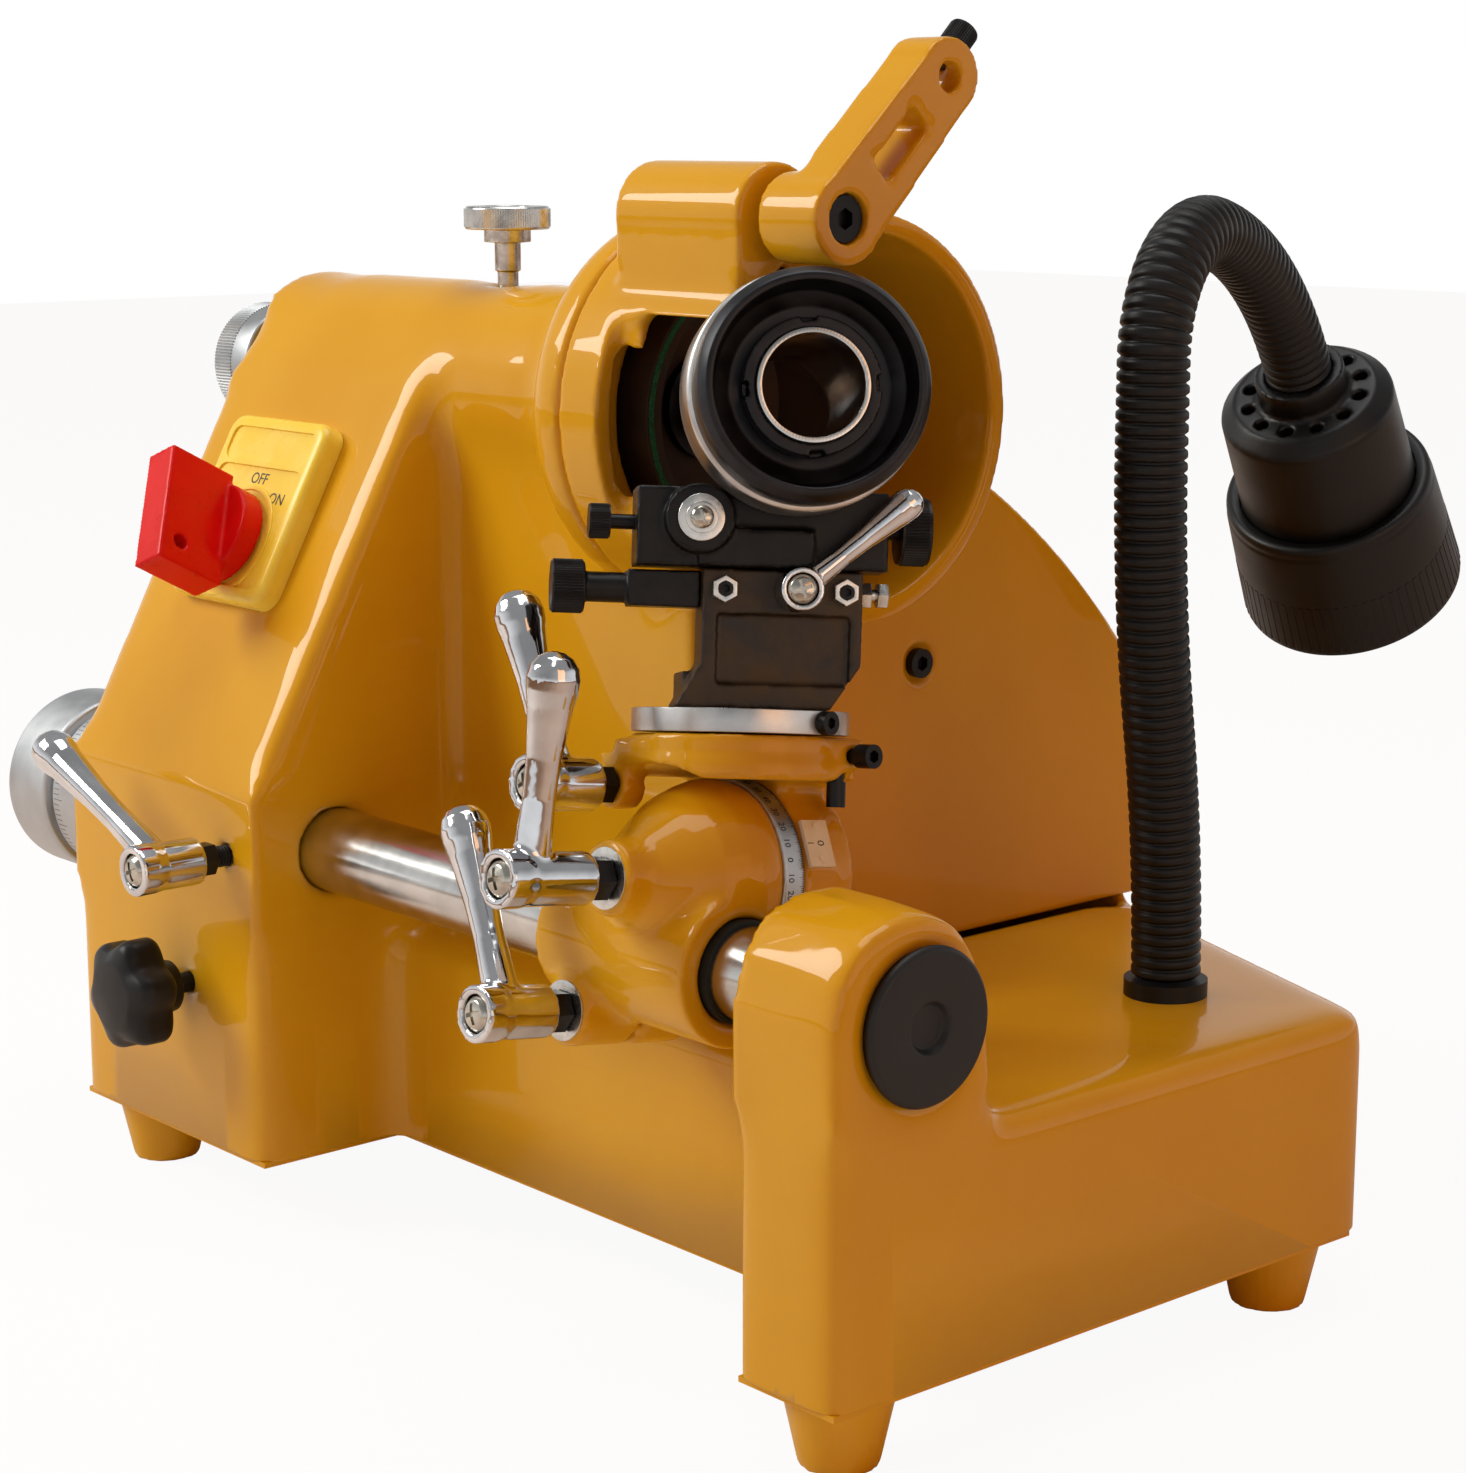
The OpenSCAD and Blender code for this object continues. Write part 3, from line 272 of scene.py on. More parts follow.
wheel_grit = toned("bonded_green_grit", ("#0B4A30", "#1F7A4E", 1500.0, 6.0), (0.85, 0.85),
    [(1800.0, 0.0004, 0.6)])
lamp_glass = toned("frosted_lamp_glass", ("#E9E9E4", "#F4F4F0", 60.0), (0.35, 0.35), IOR=1.45,
    Transmission_Weight=0.5)
print("materials", len(bpy.data.materials))

# %% [markdown]
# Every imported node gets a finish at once, so that nothing stays plain while its detailed
# piece is still to come. The mesh stays as packed, and only its material slots change.

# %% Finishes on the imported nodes
finishes = {
    enamel: "main_casting bottom_plate feet rear_cover wheel_guard dresser_arm",
    lumpy_enamel: "carriage tilt_casting",
    chrome: "bar_lock_lever carriage_lever tilt_lever swivel_lever head_lever",
    bar_steel: "guide_bar spindle_sleeve spindle_bearings spindle_shaft collet_sleeve",
    dial_metal: "feed_dial feed_drum sleeve_knob tilt_dial",
    ring_steel: "turntable thumb_screw",
    zinc_plate: "bracket_bolts pivot_screw",
    nickel_plate: "head_lever_screw",
    black_oxide: "frame_screws dresser_screw dresser_set_screw bar_lock_stud carriage_lever_stud"
        " tilt_lever_stud swivel_lever_stud stop_screws slide_block lock_knob feed_knob"
        " index_plunger wheel_nut rim_screw",
    black_face: "index_ring ring_nut",
    bracket_iron: "head_bracket",
    motor_iron: "motor",
    pulley_iron: "spindle_pulley motor_pulley",
    grained_black: "star_knob post_cap",
    lamp_black: "lamp_head lamp_shade lamp_gland",
    hose_black: "lamp_neck",
    seal_rubber: "rod_seals drive_belt",
    switch_yellow: "switch_box",
    switch_red: "switch_knob",
    scale_white: "index_plate",
    wheel_body_painted_shade: "grinding_wheel",
    lamp_glass: "lamp_bulb",
}
bare = set(frame["nodes"])
for finish, names in finishes.items():
    for name in names.split():
        for slot in frame["nodes"][name].material_slots:
            slot.material = finish
        bare.discard(name)
print("nodes without a finish", sorted(bare))

# %% [markdown]
# A new piece always ends the same way: its object stays at the origin with its place in its
# mesh, it gets its material, rides the body that carries it, and hides the imported node
# that it replaces.

# %% Finishing a piece
def piece(name, mesh, node, finish, replaces=True):
    mesh.name = name
    made = bpy.data.objects.new(name, mesh)
    scene.collection.objects.link(made)
    mesh.materials.clear()
    mesh.materials.append(finish)
    if replaces:
        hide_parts(node)
    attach(made, body_of[node])
    return made


def scratch(data):
    made = bpy.data.objects.new("scratch", data)
    scene.collection.objects.link(made)
    return made


def evaluated(made):
    """The object's mesh with its modifiers worked in; the object itself goes away."""
    bpy.context.view_layer.update()
    graph = bpy.context.evaluated_depsgraph_get()
    mesh = bpy.data.meshes.new_from_object(made.evaluated_get(graph))
    bpy.data.objects.remove(made)
    return mesh


def mesh_of(work, place=Matrix()):
    """What bmesh built, as a mesh set down in its place."""
    mesh = bpy.data.meshes.new("built")
    work.to_mesh(mesh)
    work.free()
    mesh.transform(place)
    return mesh


def joined(meshes):
    work = bmesh.new()
    for mesh in meshes:
        work.from_mesh(mesh)
    return mesh_of(work)


def shaded(mesh, angle=35):
    mesh.shade_smooth()
    mesh.set_sharp_from_angle(angle=math.radians(angle))
    return mesh


# %% [markdown]
# A casting has no sharp edge: sand cannot hold one, and thick enamel rounds what is left. A
# bevel on every edge of a solid with bores and slots tears at its corners, so the skin is
# made another way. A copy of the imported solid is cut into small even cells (a voxel
# remesh), relaxed until its edges round off, and then every point away from an edge is laid
# back on the true solid. Flats stay flat and bores stay round. Inner corners of a casting
# have far larger fillets than its outer edges, so points near an inner corner are relaxed
# longer and let go over a wider reach. The main casting stands on a sharp, flat foot, so its
# skin is first made with an apron that hangs below the foot, and is then cut off level.

# %% Cast skins
def merged_copy(mesh):
    work = bmesh.new()
    work.from_mesh(mesh)
    bmesh.ops.remove_doubles(work, verts=work.verts, dist=1e-6)
    return work


def edge_points(work, step, inner):
    """Points along the sharp edges, or along the inner corners only, to search by distance."""
    sharp = 0.45
    far_away = Vector((9, 9, 9))
    spots = [far_away]
    for edge in work.edges:
        if len(edge.link_faces) == 2 and edge.calc_face_angle(0) > sharp:
            if inner and edge.calc_face_angle_signed(0) > 0:
                continue
            a, b = (v.co for v in edge.verts)
            count = max(1, int((b - a).length / step))
            spots += [a.lerp(b, i / count) for i in range(count + 1)]
    tree = KDTree(len(spots))
    for i, spot in enumerate(spots):
        tree.insert(spot, i)
    tree.balance()
    return tree


def relaxed(mesh, passes, group=None):
    """Smoothed all over, or by a group of {weight: point numbers}."""
    made = scratch(mesh)
    relax = made.modifiers.new("relax", "SMOOTH")
    relax.factor = 0.5
    relax.iterations = passes
    if group:
        near = made.vertex_groups.new(name="near")
        for weight, points in group.items():
            near.add(points, weight, "REPLACE")
        relax.vertex_group = "near"
    return evaluated(made)


def cut_level(mesh, height):
    """Everything below the height goes, and the cut is closed."""
    work = bmesh.new()
    work.from_mesh(mesh)
    bmesh.ops.bisect_plane(work, geom=work.verts[:] + work.edges[:] + work.faces[:],
        plane_co=(0, 0, height), plane_no=(0, 0, -1), clear_outer=True)
    rim = [edge for edge in work.edges if edge.is_boundary]
    bmesh.ops.triangle_fill(work, use_beauty=True, edges=rim)
    return mesh_of(work)


def cast_mesh(node, cell, reach, passes, keep=1.0, fillet=0.0, apron=0.0):
    """Points let go of the solid within reach of an edge, or fillet of an inner corner."""
    work = merged_copy(frame["nodes"][node].data)
    foot = min(v.co.z for v in work.verts)
    near_foot = 0.0001
    for v in work.verts:
        if v.co.z < foot + near_foot:
            v.co.z -= apron
    edges = edge_points(work, cell, False)
    corners = edge_points(work, cell, True)
    solid = BVHTree.FromBMesh(work)
    made = scratch(mesh_of(work))
    cells = made.modifiers.new("cells", "REMESH")
    cells.mode = "VOXEL"
    cells.voxel_size = cell
    mesh = relaxed(evaluated(made), passes)
    if fillet:
        passes_per_square_cell = 1.6
        group = {}
        for v in mesh.vertices:
            gap = corners.find(v.co)[2]
            if gap < fillet:
                group.setdefault(round(1 - gap / fillet, 1), []).append(v.index)
        mesh = relaxed(mesh, int(passes_per_square_cell * (fillet / cell) ** 2), group)
    for v in mesh.vertices:
        spot = solid.find_nearest(v.co)[0]
        free = edges.find(v.co)[2] / reach
        if fillet:
            free = min(free, corners.find(v.co)[2] / fillet)
        if spot is not None and free > 0.5:
            v.co = v.co.lerp(spot, min(1, free * 2 - 1))
    if keep < 1:
        made = scratch(mesh)
        fewer = made.modifiers.new("fewer", "DECIMATE")
        fewer.ratio = keep
        mesh = evaluated(made)
    if apron:
        mesh = cut_level(mesh, foot)
    mesh.shade_smooth()
    return mesh


# each row is the node, cell, reach, passes, share of the faces kept, and inner fillet
lever = (0.0006, 0.0019, 5, 0.6, 0.0035)
casts = [("main_casting", 0.0022, 0.005, 4, 0.28, 0.022),
    ("wheel_guard", 0.0013, 0.0036, 6, 0.6, 0.007),
    ("rear_cover", 0.0012, 0.0024, 3, 0.35, 0), ("dresser_arm", 0.0009, 0.0034, 6, 1, 0.006),
    ("carriage", 0.0011, 0.0045, 10, 1, 0.008), ("tilt_casting", 0.001, 0.004, 9, 1, 0.006),
    ("feet", 0.0011, 0.003, 5, 0.7, 0), ("head_bracket", 0.0008, 0.0018, 3, 1, 0),
    ("slide_block", 0.0009, 0.0018, 2, 1, 0), ("switch_knob", 0.0007, 0.002, 4, 1, 0.0025),
    ("bar_lock_lever", *lever), ("carriage_lever", *lever), ("tilt_lever", *lever),
    ("swivel_lever", *lever),
    ("head_lever", 0.0004, 0.0012, 4, 0.8, 0.002), ("lamp_head", 0.001, 0.0026, 5, 0.6, 0.003),
    ("ring_nut", 0.0005, 0.0012, 3, 0.5, 0), ("index_plunger", 0.0006, 0.0015, 3, 0.8, 0)]
aprons = {"main_casting": 0.016}
for node, *shape in casts:
    finish = frame["nodes"][node].material_slots[0].material
    skin = cast_mesh(node, *shape, apron=aprons.get(node, 0))
    piece(node + "_skin", skin, node, finish)
    print(node, "faces", len(skin.polygons))

# %% [markdown]
# Turned pieces are lathe work, so they are made like it: a profile of (radius, distance)
# pairs is swept round an axis. Real turned edges are broken with a small chamfer, and that
# thin line of light is what makes metal look machined, so every corner of the profile is
# first replaced by a short curve. A lobed knob is the same sweep with its outer radius
# swelling and sinking round the turn.

# %% Turned pieces
def softened(profile, soft, closed):
    """Each corner becomes a short curve, cut back by soft, or less on a short side."""
    spots = [Vector(p) for p in profile]
    result = []
    for i, here in enumerate(spots):
        if not closed and i in (0, len(spots) - 1):
            result.append(here)
            continue
        before, after = spots[i - 1], spots[(i + 1) % len(spots)]
        cut = min(soft, (before - here).length * 0.4, (after - here).length * 0.4)
        a = here + (before - here).normalized() * cut
        b = here + (after - here).normalized() * cut
        for t in (0, 0.33, 0.67, 1):
            result.append(a * (1 - t) ** 2 + here * 2 * t * (1 - t) + b * t ** 2)
    return result


def turned_mesh(profile, place, soft=0.0004, around=96, lobes=0, swell=0.0, lobe_from=0.0):
    """Profile points are (radius, distance) in metres, from the axis or as a closed ring.
    Soft is how far corners are cut back, and around the number of points in a ring."""
    closed = profile[0][0] > 1e-6 and profile[-1][0] > 1e-6
    line = softened(profile, soft, closed)
    work = bmesh.new()
    rings = []
    for radius, along in line:
        if radius < 1e-6:
            rings.append([work.verts.new((0, 0, along))])
            continue
        ring = []
        for i in range(around):
            angle = full_turn * i / around
            r = radius
            if lobes and radius > lobe_from:
                r += swell * (math.cos(lobes * angle) - 1) * (radius - lobe_from)
            ring.append(work.verts.new((r * math.cos(angle), r * math.sin(angle), along)))
        rings.append(ring)
    pairs = list(zip(rings, rings[1:])) + ([(rings[-1], rings[0])] if closed else [])
    for lower, upper in pairs:
        for i in range(around):
            j = (i + 1) % around
            loop = [lower[i % len(lower)], lower[j % len(lower)], upper[j % len(upper)],
                upper[i % len(upper)]]
            loop = list(dict.fromkeys(loop))
            if len(loop) > 2:
                work.faces.new(loop)
    bmesh.ops.recalc_face_normals(work, faces=work.faces)
    return shaded(mesh_of(work, place), 30)


def cut_away(mesh, cutter):
    """A boolean cut, for sockets and slots."""
    tool = scratch(cutter)
    made = scratch(mesh)
    cut = made.modifiers.new("cut", "BOOLEAN")
    cut.operation = "DIFFERENCE"
    cut.solver = "EXACT"
    cut.object = tool
    result = evaluated(made)
    bpy.data.objects.remove(tool)
    return shaded(result, 30)


def box_mesh(size, place):
    work = bmesh.new()
    bmesh.ops.create_cube(work, size=1, matrix=Matrix.Diagonal((*size, 1)))
    return mesh_of(work, place)


# %% [markdown]
# The index ring is the most eye-catching turned piece: a ground steel band at the back, and
# a blackened face in front with a deep dish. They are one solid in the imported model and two
# pieces here, because each finish needs its own mesh. The collet sleeve inside it is bright
# ground steel, and shows only as a narrow ring of light round a dark bore.

# %% Index ring, sleeves and wheel
piece("index_ring_band", turned_mesh([(0.0185, 0.0285), (0.0372, 0.0285), (0.039, 0.0303),
    (0.039, 0.05), (0.0372, 0.0512), (0.0185, 0.0512)], work_place, 0.0009), "index_ring",
    ring_steel)
piece("index_ring_face", turned_mesh([(0.0185, 0.0512), (0.0376, 0.0512), (0.0376, 0.0648),
    (0.035, 0.069), (0.0328, 0.069), (0.0313, 0.057), (0.026, 0.054), (0.0185, 0.054)],
    work_place, 0.0008), "index_ring", black_face)
piece("collet_sleeve_turned", turned_mesh([(0.0165, -0.005), (0.017, -0.014), (0.0184, -0.0123),
    (0.0184, 0.064), (0.0165, 0.064)], work_place, 0.0005), "collet_sleeve", bar_steel)
# the wheel's body takes the dark brown painted shade; the thin rim below takes the green grit
piece("grinding_wheel_body", turned_mesh([(0.01, 0.005), (0.044, 0.005), (0.05, 0.012),
    (0.05, 0.0466), (0.0488, 0.0468), (0.0488, 0.045), (0.0468, 0.045), (0.0468, 0.0468),
    (0.0432, 0.0466), (0.0425, 0.04), (0.037, 0.018), (0.01, 0.018)], spindle_place, 0.0003),
    "grinding_wheel", wheel_body_painted_shade)
piece("grinding_wheel_rim", turned_mesh([(0.0467, 0.0452), (0.0489, 0.0452), (0.0489, 0.047),
    (0.0467, 0.047)], spindle_place, 0.0003), "grinding_wheel", wheel_grit)
piece("turntable_ground", turned_mesh([(0, -0.02), (0.006, -0.02), (0.006, -0.0079),
    (0.0365, -0.0079), (0.0365, 0), (0, 0)], head_place, 0.0005, 128), "turntable", ring_steel)
piece("post_cap_moulded", turned_mesh([(0, 0.219), (0.024, 0.219), (0.024, 0.2249),
    (0.0255, 0.2251), (0.0255, 0.2266), (0.0243, 0.228), (0.0085, 0.228), (0.0075, 0.2263),
    (0.0068, 0.2254), (0, 0.2254)], bar_place, 0.0008), "post_cap", grained_black)
print("turned pieces ready")

# %% [markdown]
# The grip knobs and dials: the star knob is six broad lobes with a crowned face, the drum on
# the bar's end and the knob on the spindle's end are satin aluminium, and the thumb screw
# has a thick rim on a stepped shank.

# %% Knobs and dials
knob_place = moved(-0.143, -0.163, 0.088) @ along_front @ turned("Z", 15)
star = turned_mesh([(0, 0.006), (0.01, 0.006), (0.0105, 0.014), (0.0205, 0.0152), (0.0226, 0.018),
    (0.0226, 0.0268), (0.0205, 0.0303), (0.014, 0.033), (0.006, 0.0338), (0, 0.034)], knob_place,
    0.0016, around=144, lobes=6, swell=0.22, lobe_from=0.0125)
stem = turned_mesh([(0, -0.016), (0.004, -0.016), (0.004, 0.01), (0, 0.01)], knob_place, 0.0004, 32)
piece("star_knob_moulded", joined([star, stem]), "star_knob", lamp_black)
piece("feed_drum_turned", turned_mesh([(0, -0.281), (0.034, -0.281), (0.037, -0.278),
    (0.037, -0.251), (0.036, -0.2494), (0.0161, -0.2494), (0.0161, -0.2795), (0, -0.2795)],
    bar_place, 0.0012, 128), "feed_drum", dial_metal)
piece("feed_dial_turned", turned_mesh([(0.0161, -0.249), (0.032, -0.249), (0.035, -0.245),
    (0.035, -0.2254), (0.0161, -0.2254)], bar_place, 0.0005, 128), "feed_dial", dial_metal)
piece("sleeve_knob_turned", turned_mesh([(0, -0.272), (0.0235, -0.272), (0.025, -0.2705),
    (0.025, -0.247), (0.0243, -0.2462), (0.017, -0.2462), (0.017, -0.242), (0.008, -0.242),
    (0.008, -0.182), (0, -0.182)], spindle_place, 0.0008, 128), "sleeve_knob", dial_metal)
thumb_place = moved(-0.097, -0.037, 0.314)
piece("thumb_screw_turned", turned_mesh([(0, 0.0304), (0.004, 0.0304), (0.004, 0.044),
    (0.005, 0.0445), (0.005, 0.055), (0.009, 0.0554), (0.009, 0.06), (0.0158, 0.0602),
    (0.0163, 0.0608), (0.0163, 0.0682), (0.0155, 0.069), (0.009, 0.069), (0.0085, 0.0675),
    (0, 0.0675)], thumb_place, 0.0004, 128), "thumb_screw", zinc_plate)
print("knobs ready")

# %% [markdown]
# Knurls, graduations and flutes are one idea: a small bar repeated round an axis at even
# steps. A single Geometry Nodes tree does all of them. Its inputs are the count, the radius,
# the first angle and step, the bar's size, a lean for conical surfaces, a twist that turns a
# square bar onto its edge, and how many marks lie between two long ones.

# %% Marks round an axis
def grown(tree, data, values):
    """Runs a geometry tree on some data with named inputs, and returns the plain mesh."""
    made = scratch(data)
    nodes = made.modifiers.new("grow", "NODES")
    nodes.node_group = tree
    for item in tree.interface.items_tree:
        if item.item_type == "SOCKET" and item.in_out == "INPUT" and item.name in values:
            nodes[item.identifier] = values[item.name]
    return evaluated(made)


def new_tree(name, inputs):
    """Inputs are starting values by name; the type of each tells its socket's kind."""
    kinds = {int: "Int", float: "Float", tuple: "Vector", type(None): "Material"}
    tree = bpy.data.node_groups.new(name, "GeometryNodeTree")
    tree.interface.new_socket("Geometry", in_out="INPUT", socket_type="NodeSocketGeometry")
    for label, start in inputs.items():
        kind = "NodeSocket" + kinds[type(start)]
        socket = tree.interface.new_socket(label, in_out="INPUT", socket_type=kind)
        if start is not None:
            socket.default_value = start
    tree.interface.new_socket("Geometry", in_out="OUTPUT", socket_type="NodeSocketGeometry")
    return tree, tree.nodes.new("NodeGroupInput").outputs, tree.nodes.new("NodeGroupOutput")


def maths(tree, operation, a, b):
    return add(tree, "ShaderNodeMath", {0: a, 1: b}, operation=operation).outputs[0]


marks, given, out = new_tree("marks_round_an_axis", {"Count": 60, "Radius": 0.02, "Start": 0.0,
    "First angle": 0.0, "Step": 0.1, "Size": (0.0003, 0.0003, 0.005), "Lean": 0.0, "Twist": 0.0,
    "Every": 10, "Longer": 1.0, "Material": None})
index = add(marks, "GeometryNodeInputIndex").outputs[0]
angle = maths(marks, "ADD", given["First angle"], maths(marks, "MULTIPLY", index, given["Step"]))
rest = maths(marks, "MODULO", index, given["Every"])
is_long = maths(marks, "LESS_THAN", rest, 0.5)
more = maths(marks, "MULTIPLY", is_long, maths(marks, "SUBTRACT", given["Longer"], 1.0))
longer = maths(marks, "ADD", 1.0, more)
size = add(marks, "ShaderNodeSeparateXYZ", {0: given["Size"]}).outputs
length = maths(marks, "MULTIPLY", size["Z"], longer)
spot = add(marks, "ShaderNodeCombineXYZ", {
    "X": maths(marks, "MULTIPLY", given["Radius"], maths(marks, "COSINE", angle, 0.0)),
    "Y": maths(marks, "MULTIPLY", given["Radius"], maths(marks, "SINE", angle, 0.0)),
    "Z": maths(marks, "ADD", given["Start"], maths(marks, "MULTIPLY", length, 0.5))}).outputs[0]
turn = add(marks, "ShaderNodeCombineXYZ", {"Y": given["Lean"],
    "Z": maths(marks, "ADD", angle, given["Twist"])}).outputs[0]
scale = add(marks, "ShaderNodeCombineXYZ", {"X": size["X"], "Y": size["Y"], "Z": length}).outputs[0]
points = add(marks, "GeometryNodePoints", {"Count": given["Count"], "Position": spot}).outputs[0]
bar = add(marks, "GeometryNodeMeshCube", {"Size": (1.0, 1.0, 1.0)}).outputs["Mesh"]
bars = add(marks, "GeometryNodeInstanceOnPoints", {"Points": points, "Instance": bar,
    "Rotation": turn, "Scale": scale}).outputs[0]
whole = add(marks, "GeometryNodeRealizeInstances", {"Geometry": bars}).outputs[0]
marks.links.new(add(marks, "GeometryNodeSetMaterial", {"Geometry": whole,
    "Material": given["Material"]}).outputs[0], out.inputs[0])


def ring_of_marks(name, place, node, finish, **values):
    named = {key.replace("_", " ").capitalize(): value for key, value in values.items()}
    mesh = grown(marks, bpy.data.meshes.new("seed"), {**named, "Material": finish})
    mesh.transform(place)
    return piece(name, mesh, node, finish, replaces=False)


on_edge = math.pi / 4
feed_axis = head_place @ moved(0.015, 0, 0.0605) @ turned("X", -90)
plunger_axis = head_place @ moved(0.016, 0.012, 0.0388) @ turned("X", -90)
set_screw_axis = arm_place @ moved(0.0185, 0, 0.064)
for name, place, node, finish, radius, start, long_, count, tooth in [
        ("thumb_knurl", thumb_place, "thumb_screw", zinc_plate,
            0.0163, 0.0612, 0.0068, 110, 0.00055),
        ("sleeve_knob_knurl", spindle_place, "sleeve_knob", dial_metal,
            0.025, -0.27, 0.012, 120, 0.0007),
        ("feed_knob_knurl", feed_axis, "feed_knob", black_oxide,
            0.011, 0.05, 0.008, 70, 0.00055),
        ("lock_knob_knurl", feed_axis, "lock_knob", black_oxide,
            0.0055, -0.0535, 0.006, 40, 0.00045),
        ("plunger_knurl", plunger_axis, "index_plunger", black_oxide,
            0.0085, -0.0773, 0.0096, 56, 0.00055),
        ("set_screw_knurl", set_screw_axis, "dresser_set_screw", black_oxide,
            0.005, 0.0145, 0.007, 40, 0.0004)]:
    ring_of_marks(name, place, node, finish, count=count, radius=radius, start=start,
        step=full_turn / count, size=(tooth, tooth, long_), twist=on_edge)
print("knurls ready")

# %% [markdown]
# Numbers and lines on the scales are etched and inked on the real machine. The lines are the
# same marks, laid a few hundredths of a millimetre proud. Each number is a text object made
# into a mesh first and then laid against the rim, one by one, so that it follows the round.
# The tilt scale reads from 80 down to a zero and up to 60 again, in lines of one degree.

# %% Scales and lettering
def lettering(text, height, place):
    data = bpy.data.curves.new("words", "FONT")
    data.body = text
    data.size = height
    data.align_x = data.align_y = "CENTER"
    data.extrude = 0.00003  # the thickness of the ink
    data.resolution_u = 3
    mesh = evaluated(scratch(data))
    mesh.transform(place)
    return mesh


dial_axis = carriage_place @ moved(0.111, 0, 0.0255)
first_line, last_line, zero_line = -60, 80, 20
rim, along_rim = 0.03355, 0.014
numbers = []
for degrees in range(first_line, last_line + 1, 10):
    angle = math.radians(degrees)
    sine, cosine = math.sin(angle), math.cos(angle)
    face = Matrix(((sine, 0, cosine, rim * cosine), (0, 1, 0, along_rim),
        (-cosine, 0, sine, rim * sine), (0, 0, 0, 1)))
    numbers.append(lettering(str(abs(degrees - zero_line)), 0.0034, dial_axis @ face))
piece("tilt_dial_numbers", joined(numbers), "tilt_dial", print_black, replaces=False)
piece("tilt_dial_turned", cast_mesh("tilt_dial", 0.0006, 0.001, 3, 0.6), "tilt_dial", dial_metal)
ring_of_marks("tilt_dial_lines", dial_axis @ along_front, "tilt_dial", print_black,
    count=last_line - first_line + 1, radius=0.0335, start=-0.0198,
    first_angle=math.radians(first_line), step=math.radians(1), size=(0.0001, 0.00016, 0.0012),
    every=5, longer=1.7)
ring_of_marks("feed_dial_lines", bar_place, "feed_dial", print_black, count=100, radius=0.035,
    start=-0.244, step=full_turn / 100, size=(0.0001, 0.0002, 0.004), every=5, longer=1.6)
plate_place = tilt_place @ turned("Y", -21) @ moved(0.03542, 0.0062, 0) @ turned("Y", 90)
piece("index_mark", joined([lettering("0", 0.0042, plate_place @ moved(0, 0.0008, 0)),
    box_mesh((0.0003, 0.0026, 0.00006), plate_place @ moved(0, -0.0036, 0))]), "index_plate",
    print_black, replaces=False)
piece("index_rivets", joined([turned_mesh([(0, -0.0003), (0.0013, -0.0003), (0.0012, 0.0003),
    (0.0006, 0.0005), (0, 0.0005)], plate_place @ moved(x, 0, 0), 0.0001, 24)
    for x in (-0.0056, 0.0056)]), "index_plate", brass, replaces=False)
print("scales ready")

# %% [markdown]
# Every clamp lever is held by a pan-head screw with a cross recess, and its boss stands on a
# hexagon nut on a threaded stud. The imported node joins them, because they turn together, but
# they have two finishes: warm nickel on the screw and black oxide on nut and stud. The
# recess is cut with two thin boxes. The thread is a helix swept by Geometry Nodes, because a
# thread is one small ridge that follows a spiral.

# %% Screws, nuts and threads
def cross_screw(radius, height, place):
    """A pan head with a cross recess."""
    head = turned_mesh([(0, 0), (radius, 0), (radius, height * 0.5), (radius * 0.75, height * 0.86),
        (radius * 0.3, height), (0, height)], Matrix(), 0.0004, 48)
    for degrees in (20, 110):
        head = cut_away(head, box_mesh((radius * 1.2, radius * 0.24, height * 0.7),
            turned("Z", degrees) @ moved(0, 0, height)))
    head.transform(place)
    return head


def hexagon(radius, low, high, place, bore=0):
    """A nut: a turned profile with six points round, and both ends bevelled."""
    line = [(bore, low), (radius * 0.93, low), (radius, low + radius * 0.07),
        (radius, high - radius * 0.07), (radius * 0.93, high), (bore, high)]
    return turned_mesh(line, place, 0.0001, 6)


spiral, given, out = new_tree("screw_thread", {"Radius": 0.004, "Pitch": 0.00125, "Length": 0.01,
    "Depth": 0.0004, "Material": None})
turns = maths(spiral, "DIVIDE", given["Length"], given["Pitch"])
helix = add(spiral, "GeometryNodeCurveSpiral", {"Resolution": 24, "Rotations": turns,
    "Start Radius": given["Radius"], "End Radius": given["Radius"], "Height": given["Length"]})
ridge = add(spiral, "GeometryNodeCurvePrimitiveCircle", {"Resolution": 4, "Radius": given["Depth"]})
swept = add(spiral, "GeometryNodeCurveToMesh", {"Curve": helix.outputs[0],
    "Profile Curve": ridge.outputs[0], "Fill Caps": True}).outputs[0]
spiral.links.new(add(spiral, "GeometryNodeSetMaterial", {"Geometry": swept,
    "Material": given["Material"]}).outputs[0], out.inputs[0])


def thread(radius, pitch, low, high, place):
    mesh = grown(spiral, bpy.data.meshes.new("seed"), {"Radius": radius - 0.0003, "Pitch": pitch,
        "Length": high - low, "Depth": pitch * 0.36, "Material": black_oxide})
    mesh.transform(place @ moved(0, 0, low))
    core = radius - 0.0004
    return [mesh, turned_mesh([(0, low), (core, low), (core, high), (0, high)], place, 0.0003, 32)]


